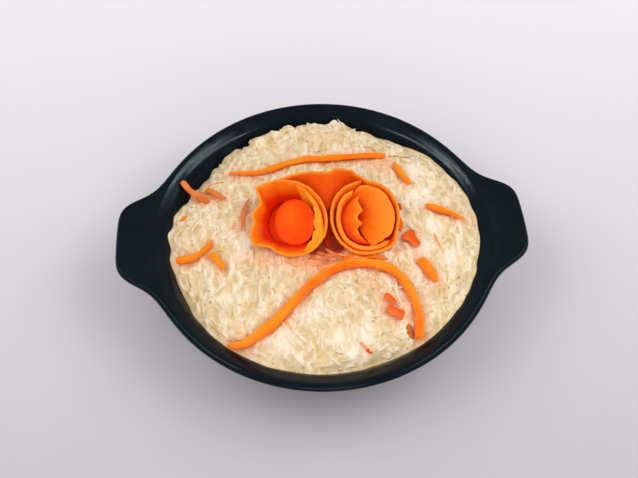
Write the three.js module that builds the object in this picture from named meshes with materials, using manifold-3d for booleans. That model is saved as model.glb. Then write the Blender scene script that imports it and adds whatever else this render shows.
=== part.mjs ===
// Coleslaw in a round dark dish with two tab handles, topped with carrot ribbons.
// Millimetres, +Z up. The origin is at the middle of the dish's underside, +X towards a handle.
import * as THREE from 'three';
import { mergeVertices } from 'three/addons/utils/BufferGeometryUtils.js';
import Module from 'manifold-3d';

const wasm = await Module();
wasm.setup();

// dish
const rimHeight = 38;
const rimRadius = 85;
const tabReach = 1.08 * rimRadius;
const tabHalfWidth = 0.276 * rimRadius;
const tabSquareness = 6;
const tabBlend = 5.9;
const tabLift = 2;
const tabDip = 0.8;
const tabLength = 15;
const dishSides = 72;
const tabFineness = 0.25;

// slaw
const gap = 0.4;
const wallGap = 0.5;
const crownHeight = 4;
const slawSides = 56;
const shredCount = 62;
const shredSpacing = 6;
const shredSink = 0.5;
const heapPower = 4;
const ridgePower = 12;
const ridge = { x: 6, y: 65, height: 7, halfWidth: 27, halfDepth: 9.5 };
const floorHeight = -34;
const floorRadius = 50;

// carrot
const peelThickness = 1.3;
const stripThickness = 1.5;
const stripStep = 3.5;
const nearMouth = { y: -18.6, z: 6 };
const farMouth = { y: 20, z: 15.5 };
const leftCup = { x: -15.6, y: 1, rx: 17, ry: 19.3, inset: 5.4, steepSide: 0 };
const rightCup = { x: 20.6, y: -0.2, rx: 15.9, ry: 18.6, inset: 0.4, steepSide: 180 };
const sheetDepth = 22.8;
const sheetInset = 0.8;
const steepWidth = 75;
const flareSide = 180;
const flareWidth = 45;
const flareShare = 0.08;
const notchDepth = 0.8;
const notchPitch = 0.9;
const sheetWidth = 34;
const plug = { x: -13, y: 1.2, rx: 9, ry: 11, top: 11, skirt: 0.32, skirtSide: 180, skirtWidth: 80 };
const lining = { from: -60, to: 54, factor: 0.67, inset: 1, lean: 2.2, tooth: 0.5, pitch: 40, drop: 1.2 };
const rose = { from: 60, to: 330, start: 0.83, end: 0.79, inset: -0.5, tooth: 0.6, pitch: 60, drop: 0.8 };
const petal = { foot: 0.64, halfLength: 8.4, tooth: 0.8, pitch: 26, bow: 1.6 };
const leftPetal = { from: 100, to: 260, edgeX: 19.5, drop: 1.2 };
const rightPetal = { from: 76, to: -76, edgeX: 18.4, drop: 3.6 };

const degree = Math.PI / 180;

function material(color, roughness) {
  return new THREE.MeshStandardMaterial({ color, roughness, metalness: 0 });
}

const glaze = material(0x141c26, 0.2);
const cream = material(0xe9dbbe, 0.45);
const carrot = material(0xee6412, 0.4);
const deepCarrot = material(0xd9480c, 0.45);

function random(seed) {
  let state = seed;
  return () => {
    state = (state * 1664525 + 1013904223) % 4294967296;
    return state / 4294967296;
  };
}

// A bell that is 1 at the centre angle and fades over the width, both in degrees. A higher power
// makes its top flatter.
function bell(angle, centre, width, power = 2) {
  const turn = ((((angle - centre + 180) % 360) + 360) % 360) - 180;
  return Math.exp(-(Math.abs(turn / width) ** power));
}

// The inside of the dish as (radius, height from the rim), from the floor to the lip.
const insideWall = [[57, -33], [62, -28], [66.5, -21], [72.5, -10], [76, -4.5], [79, -2.1], [81.3, -0.6]];

function wallRadius(height) {
  const wall = insideWall;
  if (height <= wall[0][1]) return wall[0][0];
  for (let i = 1; i < wall.length; i += 1) {
    if (height <= wall[i][1]) {
      const share = (height - wall[i - 1][1]) / (wall[i][1] - wall[i - 1][1]);
      return wall[i - 1][0] + share * (wall[i][0] - wall[i - 1][0]);
    }
  }
  return wall[wall.length - 1][0];
}

// Where the slaw meets the wall: it lies low at the far left and dips in a few other places.
function contactHeight(angle) {
  return -4.6 - 5.4 * bell(angle, 146, 24) - 3 * bell(angle, -75, 13) - 3.2 * bell(angle, -157, 15)
    - 3.2 * bell(angle, 60, 16) - 2.5 * bell(angle, 98, 26);
}

function contactRadius(angle) {
  return wallRadius(contactHeight(angle)) - wallGap;
}

// The top of the bare heap, from the rim: a flat dome that falls to the wall, with a ridge at the
// back and two low ripples.
function heapHeight(x, y) {
  const angle = Math.atan2(y, x) / degree;
  const share = Math.min(1, Math.hypot(x, y) / contactRadius(angle));
  const contact = contactHeight(angle);
  const fall = 1 - share ** heapPower;
  const aside = (x - ridge.x) / ridge.halfWidth;
  const behind = (y - ridge.y) / ridge.halfDepth;
  const nearRidge = Math.exp(-(aside ** 2) - behind ** 2);
  const back = ridge.height * nearRidge * (1 - share ** ridgePower);
  const ripple = 0.7 * Math.sin(x / 8 + 0.6) * Math.cos(y / 10 - 0.4) + 0.5 * Math.sin(x / 5.2 - y / 6.7 + 2);
  return contact + (crownHeight - contact) * fall + back + fall * ripple;
}

function heapPoint(x, y, lift) {
  return new THREE.Vector3(x, y, rimHeight + heapHeight(x, y) + lift);
}

// A closed slab between a front and a back surface. Both are placed by functions of (along,
// across) from 0 to 1 and share one triangle pattern.
function slab(frontAt, backAt, steps, rows) {
  const plane = new THREE.PlaneGeometry(1, 1, steps, rows);
  const grid = plane.attributes.position;
  const total = grid.count;
  const points = [];
  for (const place of [frontAt, backAt]) {
    for (let i = 0; i < total; i += 1) {
      const point = place(grid.getX(i) + 0.5, grid.getY(i) + 0.5);
      points.push(point.x, point.y, point.z);
    }
  }
  const faces = [];
  const index = plane.index.array;
  for (let i = 0; i < index.length; i += 3) {
    const [a, b, c] = [index[i], index[i + 1], index[i + 2]];
    faces.push(a, b, c, a + total, c + total, b + total);
  }
  const at = (column, row) => column + (steps + 1) * (rows - row);
  const border = [];
  for (let i = 0; i < steps; i += 1) border.push(at(i, 0));
  for (let i = 0; i < rows; i += 1) border.push(at(steps, i));
  for (let i = steps; i > 0; i -= 1) border.push(at(i, rows));
  for (let i = rows; i > 0; i -= 1) border.push(at(0, i));
  border.forEach((from, i) => {
    const to = border[(i + 1) % border.length];
    faces.push(to, from, from + total, to, from + total, to + total);
  });
  const geometry = new THREE.BufferGeometry();
  geometry.setAttribute('position', new THREE.Float32BufferAttribute(points, 3));
  geometry.setIndex(faces);
  return geometry;
}

// Turns a lathe geometry about Z and moves every point by place(row, angle, point).
function shapedLathe(profile, sides, place) {
  const lathe = new THREE.LatheGeometry(profile.map(([x, y]) => new THREE.Vector2(x, y)), sides);
  lathe.rotateX(Math.PI / 2);
  const position = lathe.attributes.position;
  const point = new THREE.Vector3();
  for (let i = 0; i < position.count; i += 1) {
    const side = Math.floor(i / profile.length) % sides;
    const row = i % profile.length;
    const [radius, height] = profile[row];
    place(row, (side * 360) / sides - 180, point.set(radius, 0, height));
    position.setXYZ(i, point.x, point.y, point.z);
  }
  lathe.deleteAttribute('normal');
  lathe.deleteAttribute('uv');
  return mergeVertices(lathe, 1e-4);
}

// The plan outline of the dish: a circle smoothly joined to a square-ended tab on each side.
function rimOutline(angle) {
  const across = Math.abs(Math.cos(angle)) / tabReach;
  const along = Math.abs(Math.sin(angle)) / tabHalfWidth;
  const tab = (across ** tabSquareness + along ** tabSquareness) ** (-1 / tabSquareness);
  return (rimRadius ** tabBlend + tab ** tabBlend) ** (1 / tabBlend);
}

// The dish's section as (radius, height, share of the tab): under the floor, up the outside, over
// the rim and down the inside.
const outsideRows = [
  [0, 1.2, 0], [46, 1.2, 0], [49, 0, 0], [57, 0, 0], [61, 1.6, 0], [66.5, 8, 0], [71.5, 16, 0],
  [77.5, 27, 0], [81.5, 32, 0],
];
const rimRows = [
  [84.2, -3.6, 1], [85, -2.2, 1], [84.6, -0.9, 1], [83.6, -0.1, 1], [82.9, 0, 0.5], [82.3, -0.1, 0],
];

function dishGeometry() {
  const rimHere = rimRows.map(([radius, height, share]) => [radius, rimHeight + height, share]);
  const insideRows = [...insideWall].reverse().map(([radius, height]) => [radius, rimHeight + height, 0]);
  const floorRows = [[floorRadius, rimHeight + floorHeight, 0], [0, rimHeight + floorHeight, 0]];
  const section = [...outsideRows, ...rimHere, ...insideRows, ...floorRows];
  const shares = section.map((row) => row[2]);
  return shapedLathe(section, dishSides, (row, turn, point) => {
    const angle = turn * degree - tabFineness * Math.sin(2 * turn * degree);
    const reach = rimOutline(angle) - rimRadius;
    const tip = Math.min(1, reach / tabLength);
    const radius = point.x + shares[row] * reach;
    const lift = shares[row] === 1 ? tabLift * tip ** 1.5 : 0;
    const dip = shares[row] > 0 && shares[row] < 1 ? tabDip * tip : 0;
    point.set(radius * Math.cos(angle), radius * Math.sin(angle), point.z + lift - dip);
  });
}

// The bare heap: its underside follows the dish, its top follows heapHeight.
function coreGeometry() {
  const wallShares = [0, 0.3, 0.7, 1];
  const topShares = [0.975, 0.93, 0.87, 0.8, 0.72, 0.63, 0.53, 0.42, 0.31, 0.2, 0.1, 0];
  const floor = floorHeight + wallGap;
  const rows = 2 + wallShares.length + topShares.length;
  const profile = Array.from({ length: rows }, (_, i) => [i === 0 || i === rows - 1 ? 0 : floorRadius, i]);
  return shapedLathe(profile, slawSides, (row, turn, point) => {
    const angle = turn * degree;
    let radius = row === 0 ? 0 : floorRadius;
    let height = floor;
    const wallRow = row - 2;
    const topRow = wallRow - wallShares.length;
    if (topRow >= 0) {
      radius = topShares[topRow] * contactRadius(turn);
      height = heapHeight(radius * Math.cos(angle), radius * Math.sin(angle));
    } else if (wallRow >= 0) {
      const low = insideWall[0][1] + wallGap;
      height = low + wallShares[wallRow] * (contactHeight(turn) - low);
      radius = wallRadius(height) - wallGap;
    }
    point.set(radius * Math.cos(angle), radius * Math.sin(angle), rimHeight + height);
  });
}

// A plan path through the given points, with its left-hand normal.
function planPath(points) {
  const knots = points.map(([x, y]) => new THREE.Vector3(x, y, 0));
  const curve = new THREE.CatmullRomCurve3(knots, false, 'centripetal');
  return (share) => {
    const point = curve.getPointAt(share);
    const tangent = curve.getTangentAt(share);
    return { x: point.x, y: point.y, nx: -tangent.y, ny: tangent.x, length: curve.getLength() };
  };
}

// A flat strip lying on the heap along a plan path; its first end may rise off the heap.
function stripGeometry(points, width, rise = 0) {
  const path = planPath(points);
  const steps = Math.max(2, Math.round(path(0).length / stripStep));
  const place = (lift) => (along, across) => {
    const here = path(along);
    const side = (across - 0.5) * width * (1 - 0.25 * Math.abs(2 * along - 1) ** 6);
    return heapPoint(here.x + here.nx * side, here.y + here.ny * side, lift + rise * (1 - along) ** 2);
  };
  return slab(place(gap + stripThickness), place(gap), steps, 1);
}

// The strips and bits of carrot: name, width, plan points, colour and the rise of the first end.
const strips = [
  ['carrot_strip_front', 5.6, [[-45.4, -56.8], [-37.2, -56.9], [-27.1, -51.6], [-17, -42.4], [-6.7, -31.9],
    [1.6, -26.9], [10.5, -22.9], [20.4, -23.4], [29.8, -26.8], [35.4, -34.7], [39.6, -43.3], [40.9, -52.1],
    [39.6, -60]], carrot],
  ['carrot_strip_back', 4.2, [[-44.9, 39.7], [-30.4, 35.7], [-16, 39.4], [-5.1, 41.8], [2.1, 41.8],
    [16.6, 43.2], [35.7, 42.8]], carrot],
  ['carrot_strip_far_left', 3.4, [[-68.6, 35.7], [-61.5, 28], [-55.5, 21.5]], carrot, 7],
  ['carrot_strip_far_left_tail', 3, [[-56.8, 31.4], [-52.5, 27], [-47.4, 20.6]], carrot],
  ['carrot_strip_left', 3.2, [[-71, -10.8], [-62.8, -11.5], [-55.9, -7.7], [-53.9, -3.6]], carrot],
  ['carrot_strip_left_leg', 3, [[-54.2, -11.4], [-51, -15.5], [-47.9, -20.9]], carrot],
  ['carrot_strip_far_right', 3.2, [[39.6, 38], [42.2, 30], [45.9, 22.5]], carrot],
  ['carrot_strip_right', 3.2, [[52, 8.7], [61, 5], [70.3, 1.4]], carrot],
  ['carrot_strip_near_right', 5, [[44.6, -22.8], [48, -28], [51.3, -34.2]], carrot],
  ['carrot_chunk', 5.6, [[40, -7.4], [42.6, -11.5], [45.1, -15.4]], deepCarrot],
  ['carrot_bit_upper', 3, [[25.8, -41.3], [30.5, -45.4]], deepCarrot],
  ['carrot_bit_lower', 4, [[26.1, -47.6], [33.3, -51.3]], deepCarrot],
  ['carrot_shred_left', 2.2, [[-34.6, 18.6], [-36.6, 15], [-38.1, 7], [-38.7, -1]], carrot],
];

// The height of the cups' sloping mouth over the rim.
function mouthHeight(y) {
  const share = (y - nearMouth.y) / (farMouth.y - nearMouth.y);
  return nearMouth.z + share * (farMouth.z - nearMouth.z);
}

function around(cup, angle, factor) {
  const turn = angle * degree;
  return [cup.x + cup.rx * factor * Math.cos(turn), cup.y + cup.ry * factor * Math.sin(turn)];
}

function arc(cup, from, to, startFactor, endFactor, steps) {
  return Array.from({ length: steps + 1 }, (_, i) => {
    const share = i / steps;
    return around(cup, from + share * (to - from), startFactor + share * (endFactor - startFactor));
  });
}

// A closed sheet of even thickness around a middle surface given by (along, up).
function sheetGeometry(surfaceAt, steps, rows) {
  const step = 1e-3;
  const between = (value) => [Math.max(0, value - step), Math.min(1, value + step)];
  const offset = (distance) => (along, up) => {
    const [before, after] = between(along);
    const [under, over] = between(up);
    const forward = surfaceAt(after, up).sub(surfaceAt(before, up));
    const upward = surfaceAt(along, over).sub(surfaceAt(along, under));
    return surfaceAt(along, up).addScaledVector(forward.cross(upward).normalize(), distance);
  };
  return slab(offset(peelThickness / 2), offset(-peelThickness / 2), steps, rows);
}

// An upright ribbon: the plan path is its top edge on the sloping mouth, and its foot is set in.
function ribbonGeometry(points, steps, insetAt, notchAt) {
  const path = planPath(points);
  return sheetGeometry((along, up) => {
    const here = path(along);
    const inset = insetAt(here.x, here.y, along);
    const footX = here.x - here.nx * inset;
    const footY = here.y - here.ny * inset;
    const bottom = heapHeight(footX, footY) + gap + peelThickness / 2;
    const top = Math.max(bottom + 1, mouthHeight(here.y) + notchAt(here.x, here.y, along));
    const side = inset * (1 - up) ** 1.3;
    return new THREE.Vector3(
      here.x - here.nx * side,
      here.y - here.ny * side,
      rimHeight + bottom + up * (top - bottom),
    );
  }, steps, 2);
}

function angleIn(cup, x, y) {
  return Math.atan2((y - cup.y) / cup.ry, (x - cup.x) / cup.rx) / degree;
}

// The long ribbon: a turn of the left cup, the sheet behind both cups, a turn of the right cup.
function scrollGeometry() {
  const leftTurn = arc(leftCup, 72, -258, 1, 1, 22).map(([x, y]) => {
    const flare = flareShare * bell(angleIn(leftCup, x, y), flareSide, flareWidth);
    return [x + flare * (x - leftCup.x), y + flare * (y - leftCup.y)];
  });
  const sheet = [[-11.5, sheetDepth], [2.5, sheetDepth + 0.8], [15.5, sheetDepth - 0.4]];
  const points = [...leftTurn, ...sheet, ...arc(rightCup, 65, -240, 1.02, 1, 20)];
  const middle = (leftCup.x + leftCup.rx + rightCup.x - rightCup.rx) / 2;
  const inset = (x, y, along) => {
    const cup = x < middle ? leftCup : rightCup;
    const steep = bell(angleIn(cup, x, y), cup.steepSide, steepWidth, 6);
    const onSheet = bell(360 * along, 180, sheetWidth);
    return (sheetInset + cup.inset * (1 - steep)) * (1 - onSheet) + sheetInset * onSheet;
  };
  const notch = (x, y) => {
    const flared = x < middle ? bell(angleIn(leftCup, x, y), flareSide, flareWidth) : 0;
    return notchDepth * flared * Math.sin(notchPitch * y);
  };
  return ribbonGeometry(points, 88, inset, notch);
}

// A petal of the bud: its foot is an arc of the right cup, its top edge a ragged line across it.
function petalGeometry({ from, to, edgeX, drop }) {
  return sheetGeometry((along, up) => {
    const [footX, footY] = around(rightCup, from + along * (to - from), petal.foot);
    const edgeY = rightCup.y + petal.halfLength * (1 - 2 * along);
    const ragged = petal.tooth * Math.sin(along * petal.pitch);
    const foot = heapHeight(footX, footY) + gap + peelThickness;
    const rise = mouthHeight(edgeY) - drop - foot;
    const share = up ** petal.bow;
    return new THREE.Vector3(
      footX + share * (edgeX + ragged * up - footX),
      footY + share * (edgeY - footY),
      rimHeight + foot + rise * Math.sin((up * Math.PI) / 2),
    );
  }, 10, 4);
}

// The ledge inside the left cup: a leaning ribbon with a toothed top edge.
function liningGeometry() {
  return ribbonGeometry(
    arc(leftCup, lining.from, lining.to, lining.factor, lining.factor, 8),
    20,
    (x, y, along) => lining.inset + lining.lean * Math.sin(Math.PI * along),
    (x, y, along) => lining.tooth * Math.sin(along * lining.pitch) - lining.drop,
  );
}

// The second turn inside the right cup.
function roseGeometry() {
  return ribbonGeometry(
    arc(rightCup, rose.from, rose.to, rose.start, rose.end, 18),
    36,
    () => rose.inset,
    (x, y, along) => rose.tooth * Math.sin(along * rose.pitch) - rose.drop,
  );
}

// The plug section as (radius, height, share of the skirt), both from 0 to 1.
const plugRows = [
  [0, 0, 0], [1, 0, 1], [1, 0.16, 1], [0.99, 0.3, 0], [0.88, 0.66, 0], [0.63, 0.87, 0], [0.32, 0.97, 0],
  [0, 1, 0],
];

// The plug in the left cup: a dome whose skirt spreads over the cup's floor.
function plugGeometry() {
  return shapedLathe(plugRows, 24, (row, turn, point) => {
    const spread = 1 + plugRows[row][2] * plug.skirt * bell(turn, plug.skirtSide, plug.skirtWidth);
    const x = plug.x + plug.rx * spread * point.x * Math.cos(turn * degree);
    const y = plug.y + plug.ry * spread * point.x * Math.sin(turn * degree);
    const bottom = heapHeight(x, y) + gap;
    point.set(x, y, rimHeight + bottom + point.z * (plug.top - bottom));
  });
}

function solid(geometry) {
  const merged = mergeVertices(geometry, 1e-4);
  return new wasm.Manifold(new wasm.Mesh({
    numProp: 3,
    vertProperties: new Float32Array(merged.attributes.position.array),
    triVerts: new Uint32Array(merged.index.array),
  }));
}

function geometryOf(body) {
  const mesh = body.getMesh();
  const geometry = new THREE.BufferGeometry();
  geometry.setAttribute('position', new THREE.BufferAttribute(mesh.vertProperties, 3));
  geometry.setIndex(new THREE.BufferAttribute(mesh.triVerts, 1));
  return geometry;
}

// Keeps the largest closed shell, so that sealed hollows are filled and loose scraps are dropped.
function largestShell(geometry) {
  const index = geometry.index.array;
  const owner = Array.from({ length: geometry.attributes.position.count }, (_, i) => i);
  const root = (i) => {
    let at = i;
    while (owner[at] !== at) {
      owner[at] = owner[owner[at]];
      at = owner[at];
    }
    return at;
  };
  for (let i = 0; i < index.length; i += 3) {
    owner[root(index[i + 1])] = root(index[i]);
    owner[root(index[i + 2])] = root(index[i]);
  }
  const sizes = new Map();
  for (const i of index) sizes.set(root(i), (sizes.get(root(i)) || 0) + 1);
  const largest = [...sizes].sort((a, b) => b[1] - a[1])[0][0];
  geometry.setIndex([...index].filter((i) => root(i) === largest));
  return geometry;
}

// One bent shred, half sunk in the heap, with one end lifted a little.
function shredGeometry(shred) {
  const place = (lift) => (along, across) => {
    const turn = shred.turn + shred.bend * (along - 0.5);
    const reach = (along - 0.5) * shred.length;
    const x = shred.x + reach * Math.cos(turn) - (across - 0.5) * shred.width * Math.sin(turn);
    const y = shred.y + reach * Math.sin(turn) + (across - 0.5) * shred.width * Math.cos(turn);
    return heapPoint(x, y, lift + shred.rise * along ** 2);
  };
  return slab(place(shred.thickness - shredSink), place(-shredSink), 3, 1);
}

// True where a shred keeps its distance from the dish and from every topping's footprint.
function isClear(shred, footprints) {
  for (let i = 0; i <= 4; i += 1) {
    const turn = shred.turn + shred.bend * (i / 4 - 0.5);
    const x = shred.x + (i / 4 - 0.5) * shred.length * Math.cos(turn);
    const y = shred.y + (i / 4 - 0.5) * shred.length * Math.sin(turn);
    const radius = Math.hypot(x, y);
    if (radius > contactRadius(Math.atan2(y, x) / degree) - shred.width - 0.8) return false;
    for (const [px, py, size] of footprints) {
      if (Math.hypot(x - px, y - py) < size + shred.width / 2 + 0.8) return false;
    }
  }
  return true;
}

function stripFootprint([, width, points]) {
  const path = planPath(points);
  const steps = Math.ceil(path(0).length / 2);
  return Array.from({ length: steps + 1 }, (_, i) => [path(i / steps).x, path(i / steps).y, width / 2]);
}

function makeShreds() {
  const next = random(20);
  const footprints = strips.flatMap(stripFootprint);
  for (const cup of [leftCup, rightCup]) {
    for (let angle = 0; angle < 360; angle += 10) footprints.push([...around(cup, angle, 1), 5]);
    footprints.push([cup.x, cup.y, cup.rx]);
  }
  for (const x of [-6, 2, 10]) footprints.push([x, sheetDepth, 3]);
  const shreds = [];
  for (let tries = 0; shreds.length < shredCount && tries < 4000; tries += 1) {
    const size = 1 - shreds.length / shredCount;
    const radius = 74 * Math.sqrt(next());
    const angle = 2 * Math.PI * next();
    const shred = {
      x: radius * Math.cos(angle),
      y: radius * Math.sin(angle),
      length: 9 + 12 * size * (0.6 + 0.4 * next()),
      width: 2 + 1.6 * size * next(),
      thickness: 1.5 + 0.9 * next(),
      turn: 2 * Math.PI * next(),
      bend: 1.8 * (next() - 0.5),
      rise: 2.4 * next() ** 2,
    };
    const isApart = shreds.every((other) => Math.hypot(other.x - shred.x, other.y - shred.y) > shredSpacing);
    if (isApart && isClear(shred, footprints)) shreds.push(shred);
  }
  return shreds;
}

const dishful = new THREE.Group();

function addPart(name, geometry, look) {
  const mesh = new THREE.Mesh(geometry, look);
  mesh.name = name;
  dishful.add(mesh);
}

const shredSolids = makeShreds().map((shred) => solid(shredGeometry(shred)));
const slaw = shredSolids.reduce((heap, shred) => heap.add(shred), solid(coreGeometry()));

addPart('dish', dishGeometry(), glaze);
addPart('slaw', largestShell(geometryOf(slaw)), cream);
for (const [name, width, points, look, rise] of strips) {
  addPart(name, stripGeometry(points, width, rise), look);
}
addPart('carrot_scroll', scrollGeometry(), carrot);
addPart('carrot_plug', plugGeometry(), deepCarrot);
addPart('carrot_lining', liningGeometry(), carrot);
addPart('carrot_rose', roseGeometry(), carrot);
addPart('carrot_petal_left', petalGeometry(leftPetal), carrot);
addPart('carrot_petal_right', petalGeometry(rightPetal), carrot);

export default dishful;
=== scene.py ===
import math

import bpy
import numpy as np
from mathutils import Matrix, Vector


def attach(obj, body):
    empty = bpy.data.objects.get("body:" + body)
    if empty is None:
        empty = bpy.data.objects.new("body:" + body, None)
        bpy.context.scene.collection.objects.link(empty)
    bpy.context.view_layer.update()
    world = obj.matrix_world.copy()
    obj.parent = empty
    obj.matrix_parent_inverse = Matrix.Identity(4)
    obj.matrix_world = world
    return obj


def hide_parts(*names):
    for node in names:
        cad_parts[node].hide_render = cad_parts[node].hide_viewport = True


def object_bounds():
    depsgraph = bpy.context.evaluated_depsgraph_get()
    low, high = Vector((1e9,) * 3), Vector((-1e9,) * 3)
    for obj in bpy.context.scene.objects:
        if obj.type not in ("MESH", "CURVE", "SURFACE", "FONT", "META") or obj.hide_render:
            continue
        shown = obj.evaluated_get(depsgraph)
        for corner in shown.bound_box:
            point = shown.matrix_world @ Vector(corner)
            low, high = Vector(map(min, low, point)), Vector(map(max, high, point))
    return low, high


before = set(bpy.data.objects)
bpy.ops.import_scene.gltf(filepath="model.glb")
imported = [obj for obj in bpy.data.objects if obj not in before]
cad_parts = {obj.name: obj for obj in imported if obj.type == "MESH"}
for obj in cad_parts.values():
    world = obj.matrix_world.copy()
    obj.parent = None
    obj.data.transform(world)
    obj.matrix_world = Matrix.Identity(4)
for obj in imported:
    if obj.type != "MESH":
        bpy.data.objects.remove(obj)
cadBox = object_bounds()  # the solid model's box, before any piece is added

mm = 0.001  # every shape below is worked out in millimetres
degree = math.pi / 180
rng = np.random.default_rng(31)


# Small helpers for meshes

# Closed tubes. rings is (pieces, along, around, 3), ends is (pieces, 2, 3): every ring is joined to
# the next, and each end is a fan to its own end point. The faces are turned so that the volume is
# positive. Each tone is a vertex value, given per piece or per point.
def ringPieces(name, rings, ends, material, tones=None):
    count, along, around, _ = rings.shape
    perPiece = along * around + 2
    points = np.concatenate([rings.reshape(count, -1, 3), ends], axis=1).reshape(-1, 3)
    j = np.arange(around)
    k = (j + 1) % around
    low = np.arange(along - 1)[:, None] * around
    quads = np.stack([low + j, low + k, low + around + k, low + around + j], -1).reshape(-1, 4)
    top = perPiece - 2
    first = np.stack([np.full(around, top), k, j], -1)
    final = np.stack([np.full(around, top + 1), top - around + j, top - around + k], -1)
    shift = np.arange(count)[:, None, None] * perPiece
    quads = (quads[None] + shift).reshape(-1, 4)
    fans = (np.concatenate([first, final])[None] + shift).reshape(-1, 3)
    a, b, c = points[np.concatenate([quads[:, :3], quads[:, [0, 2, 3]], fans]).T]
    if np.einsum("ij,ij->i", a, np.cross(b, c)).sum() < 0:
        quads, fans = quads[:, ::-1], fans[:, ::-1]
    loops = np.concatenate([quads.ravel(), fans.ravel()])
    sizes = np.concatenate([np.full(len(quads), 4), np.full(len(fans), 3)])
    mesh = bpy.data.meshes.new(name)
    mesh.vertices.add(len(points))
    mesh.vertices.foreach_set("co", (points * mm).astype(np.float32).ravel())
    mesh.loops.add(len(loops))
    mesh.loops.foreach_set("vertex_index", loops.astype(np.int32))
    mesh.polygons.add(len(sizes))
    mesh.polygons.foreach_set("loop_start", (np.cumsum(sizes) - sizes).astype(np.int32))
    mesh.polygons.foreach_set("use_smooth", np.ones(len(sizes), bool))
    for label, values in (tones or {}).items():
        values = np.asarray(values, np.float32)
        spread = np.broadcast_to(values if values.ndim == 2 else values[:, None], (count, perPiece))
        mesh.attributes.new(label, "FLOAT", "POINT").data.foreach_set("value", spread.ravel())
    mesh.update(calc_edges=True)
    mesh.validate()
    piece = bpy.data.objects.new(name, mesh)
    bpy.context.scene.collection.objects.link(piece)
    mesh.materials.append(material)
    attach(piece, "root")
    return piece


def unit(vectors):
    return vectors / np.linalg.norm(vectors, axis=-1)[..., None]


# Vertex values of one piece: those of its rings, and one value for both end points.
def withEnds(values, end=0.0):
    return np.append(values, [end, end])[None]


# Evenly spread angles of a full turn.
def fullTurn(around):
    return np.arange(around) * 2 * math.pi / around


# A curve through the given points: each span is a cubic with tangents from its neighbours.
def smoothThrough(points, steps):
    points = np.asarray(points, float)
    padded = np.concatenate([[2 * points[0] - points[1]], points, [2 * points[-1] - points[-2]]])
    spans = len(points) - 1
    t = np.linspace(0, spans, steps)
    i = np.minimum(t.astype(int), spans - 1)
    u = (t - i)[:, None]
    p0, p1, p2, p3 = (padded[i + n] for n in range(4))
    square, cube = 2 * p0 - 5 * p1 + 4 * p2 - p3, 3 * p1 - p0 - 3 * p2 + p3
    return 0.5 * (2 * p1 + (p2 - p0) * u + square * u ** 2 + cube * u ** 3)


# The same curve with its points spread evenly by length, its left-hand normal and its length.
def evenPath(points, steps):
    fine = smoothThrough(points, 40 * len(points))
    length = np.concatenate([[0], np.cumsum(np.hypot(*np.diff(fine, axis=0).T[:2]))])
    at = np.linspace(0, length[-1], steps)
    path = np.stack([np.interp(at, length, fine[:, n]) for n in range(2)], -1)
    forward = unit(np.gradient(path, axis=0))
    return path, np.stack([-forward[:, 1], forward[:, 0]], -1), length[-1]


# Smooth uneven ground: eight sine waves with seeded directions and phases, about -1 to 1.
def ripple(x, y, seed, scale):
    local = np.random.default_rng(seed)
    total = np.zeros(np.broadcast(x, y).shape)
    for _ in range(8):
        turn, phase = local.uniform(0, 2 * math.pi), local.uniform(0, 2 * math.pi)
        pace = local.uniform(0.6, 1.6)
        total += np.sin((x * math.cos(turn) + y * math.sin(turn)) * pace / scale + phase)
    return total / 4


# Shader nodes, and the groups that several materials share

# Sets each named or numbered input to a value, or links it where the value is another node's socket.
def setInputs(tree, node, inputs):
    for label, value in inputs.items():
        socket = node.inputs[label]
        if isinstance(value, bpy.types.NodeSocket):
            tree.links.new(value, socket)
        else:
            socket.default_value = (*value, 1) if socket.type == "RGBA" and len(value) == 3 else value


def addNode(tree, kind, inputs=None, **settings):
    node = tree.nodes.new(kind if kind.startswith("Node") else "ShaderNode" + kind)
    for label, value in settings.items():
        setattr(node, label, value)
    setInputs(tree, node, inputs or {})
    return node


def addProduct(tree, first, second):
    return addNode(tree, "Math", {0: first, 1: second}, operation="MULTIPLY").outputs[0]


def addMix(tree, share, first, second):
    return addNode(tree, "Mix", {0: share, 6: first, 7: second}, data_type="RGBA").outputs[2]


# A value stretched so that low becomes least and high becomes most.
def addRange(tree, value, low, high, least=0.0, most=1.0):
    return addNode(tree, "MapRange", {"Value": value, "From Min": low, "From Max": high, "To Min": least,
                                      "To Max": most}).outputs["Result"]


# Noise on the object's own coordinates.
def addNoise(tree, scale, detail=2.0, **more):
    if "Vector" not in more:
        more["Vector"] = addNode(tree, "TexCoord").outputs["Object"]
    return addNode(tree, "TexNoise", {"Scale": scale, "Detail": detail, **more}).outputs["Fac"]


# The colour mixed towards others by vertex values: label, other colour, strength.
def tintByValues(tree, colour, tints):
    for label, other, strength in tints:
        value = addNode(tree, "Attribute", attribute_name=label).outputs["Fac"]
        colour = addMix(tree, addProduct(tree, value, strength), colour, other)
    return colour


def newGroup(name, inputs, outputs):
    group = bpy.data.node_groups.new(name, "ShaderNodeTree")
    for label, value in inputs.items():
        kind = "NodeSocketColor" if isinstance(value, tuple) else "NodeSocketFloat"
        group.interface.new_socket(name=label, in_out="INPUT", socket_type=kind).default_value = value
    for label, kind in outputs.items():
        group.interface.new_socket(name=label, in_out="OUTPUT", socket_type="NodeSocket" + kind)
    return group, addNode(group, "NodeGroupInput").outputs


# Two colours mixed by a soft noise.
def makeMottleGroup():
    group, given = newGroup("mottle", {"Colour A": (1, 1, 1, 1), "Colour B": (0, 0, 0, 1), "Scale": 100.0,
                                       "Amount": 1.0}, {"Colour": "Color", "Mask": "Float"})
    mask = addRange(group, addNoise(group, given["Scale"], 4.0, Roughness=0.6), 0.36, 0.64)
    mix = addMix(group, addProduct(group, mask, given["Amount"]), given["Colour A"], given["Colour B"])
    addNode(group, "NodeGroupOutput", {"Colour": mix, "Mask": mask})
    return group


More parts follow.
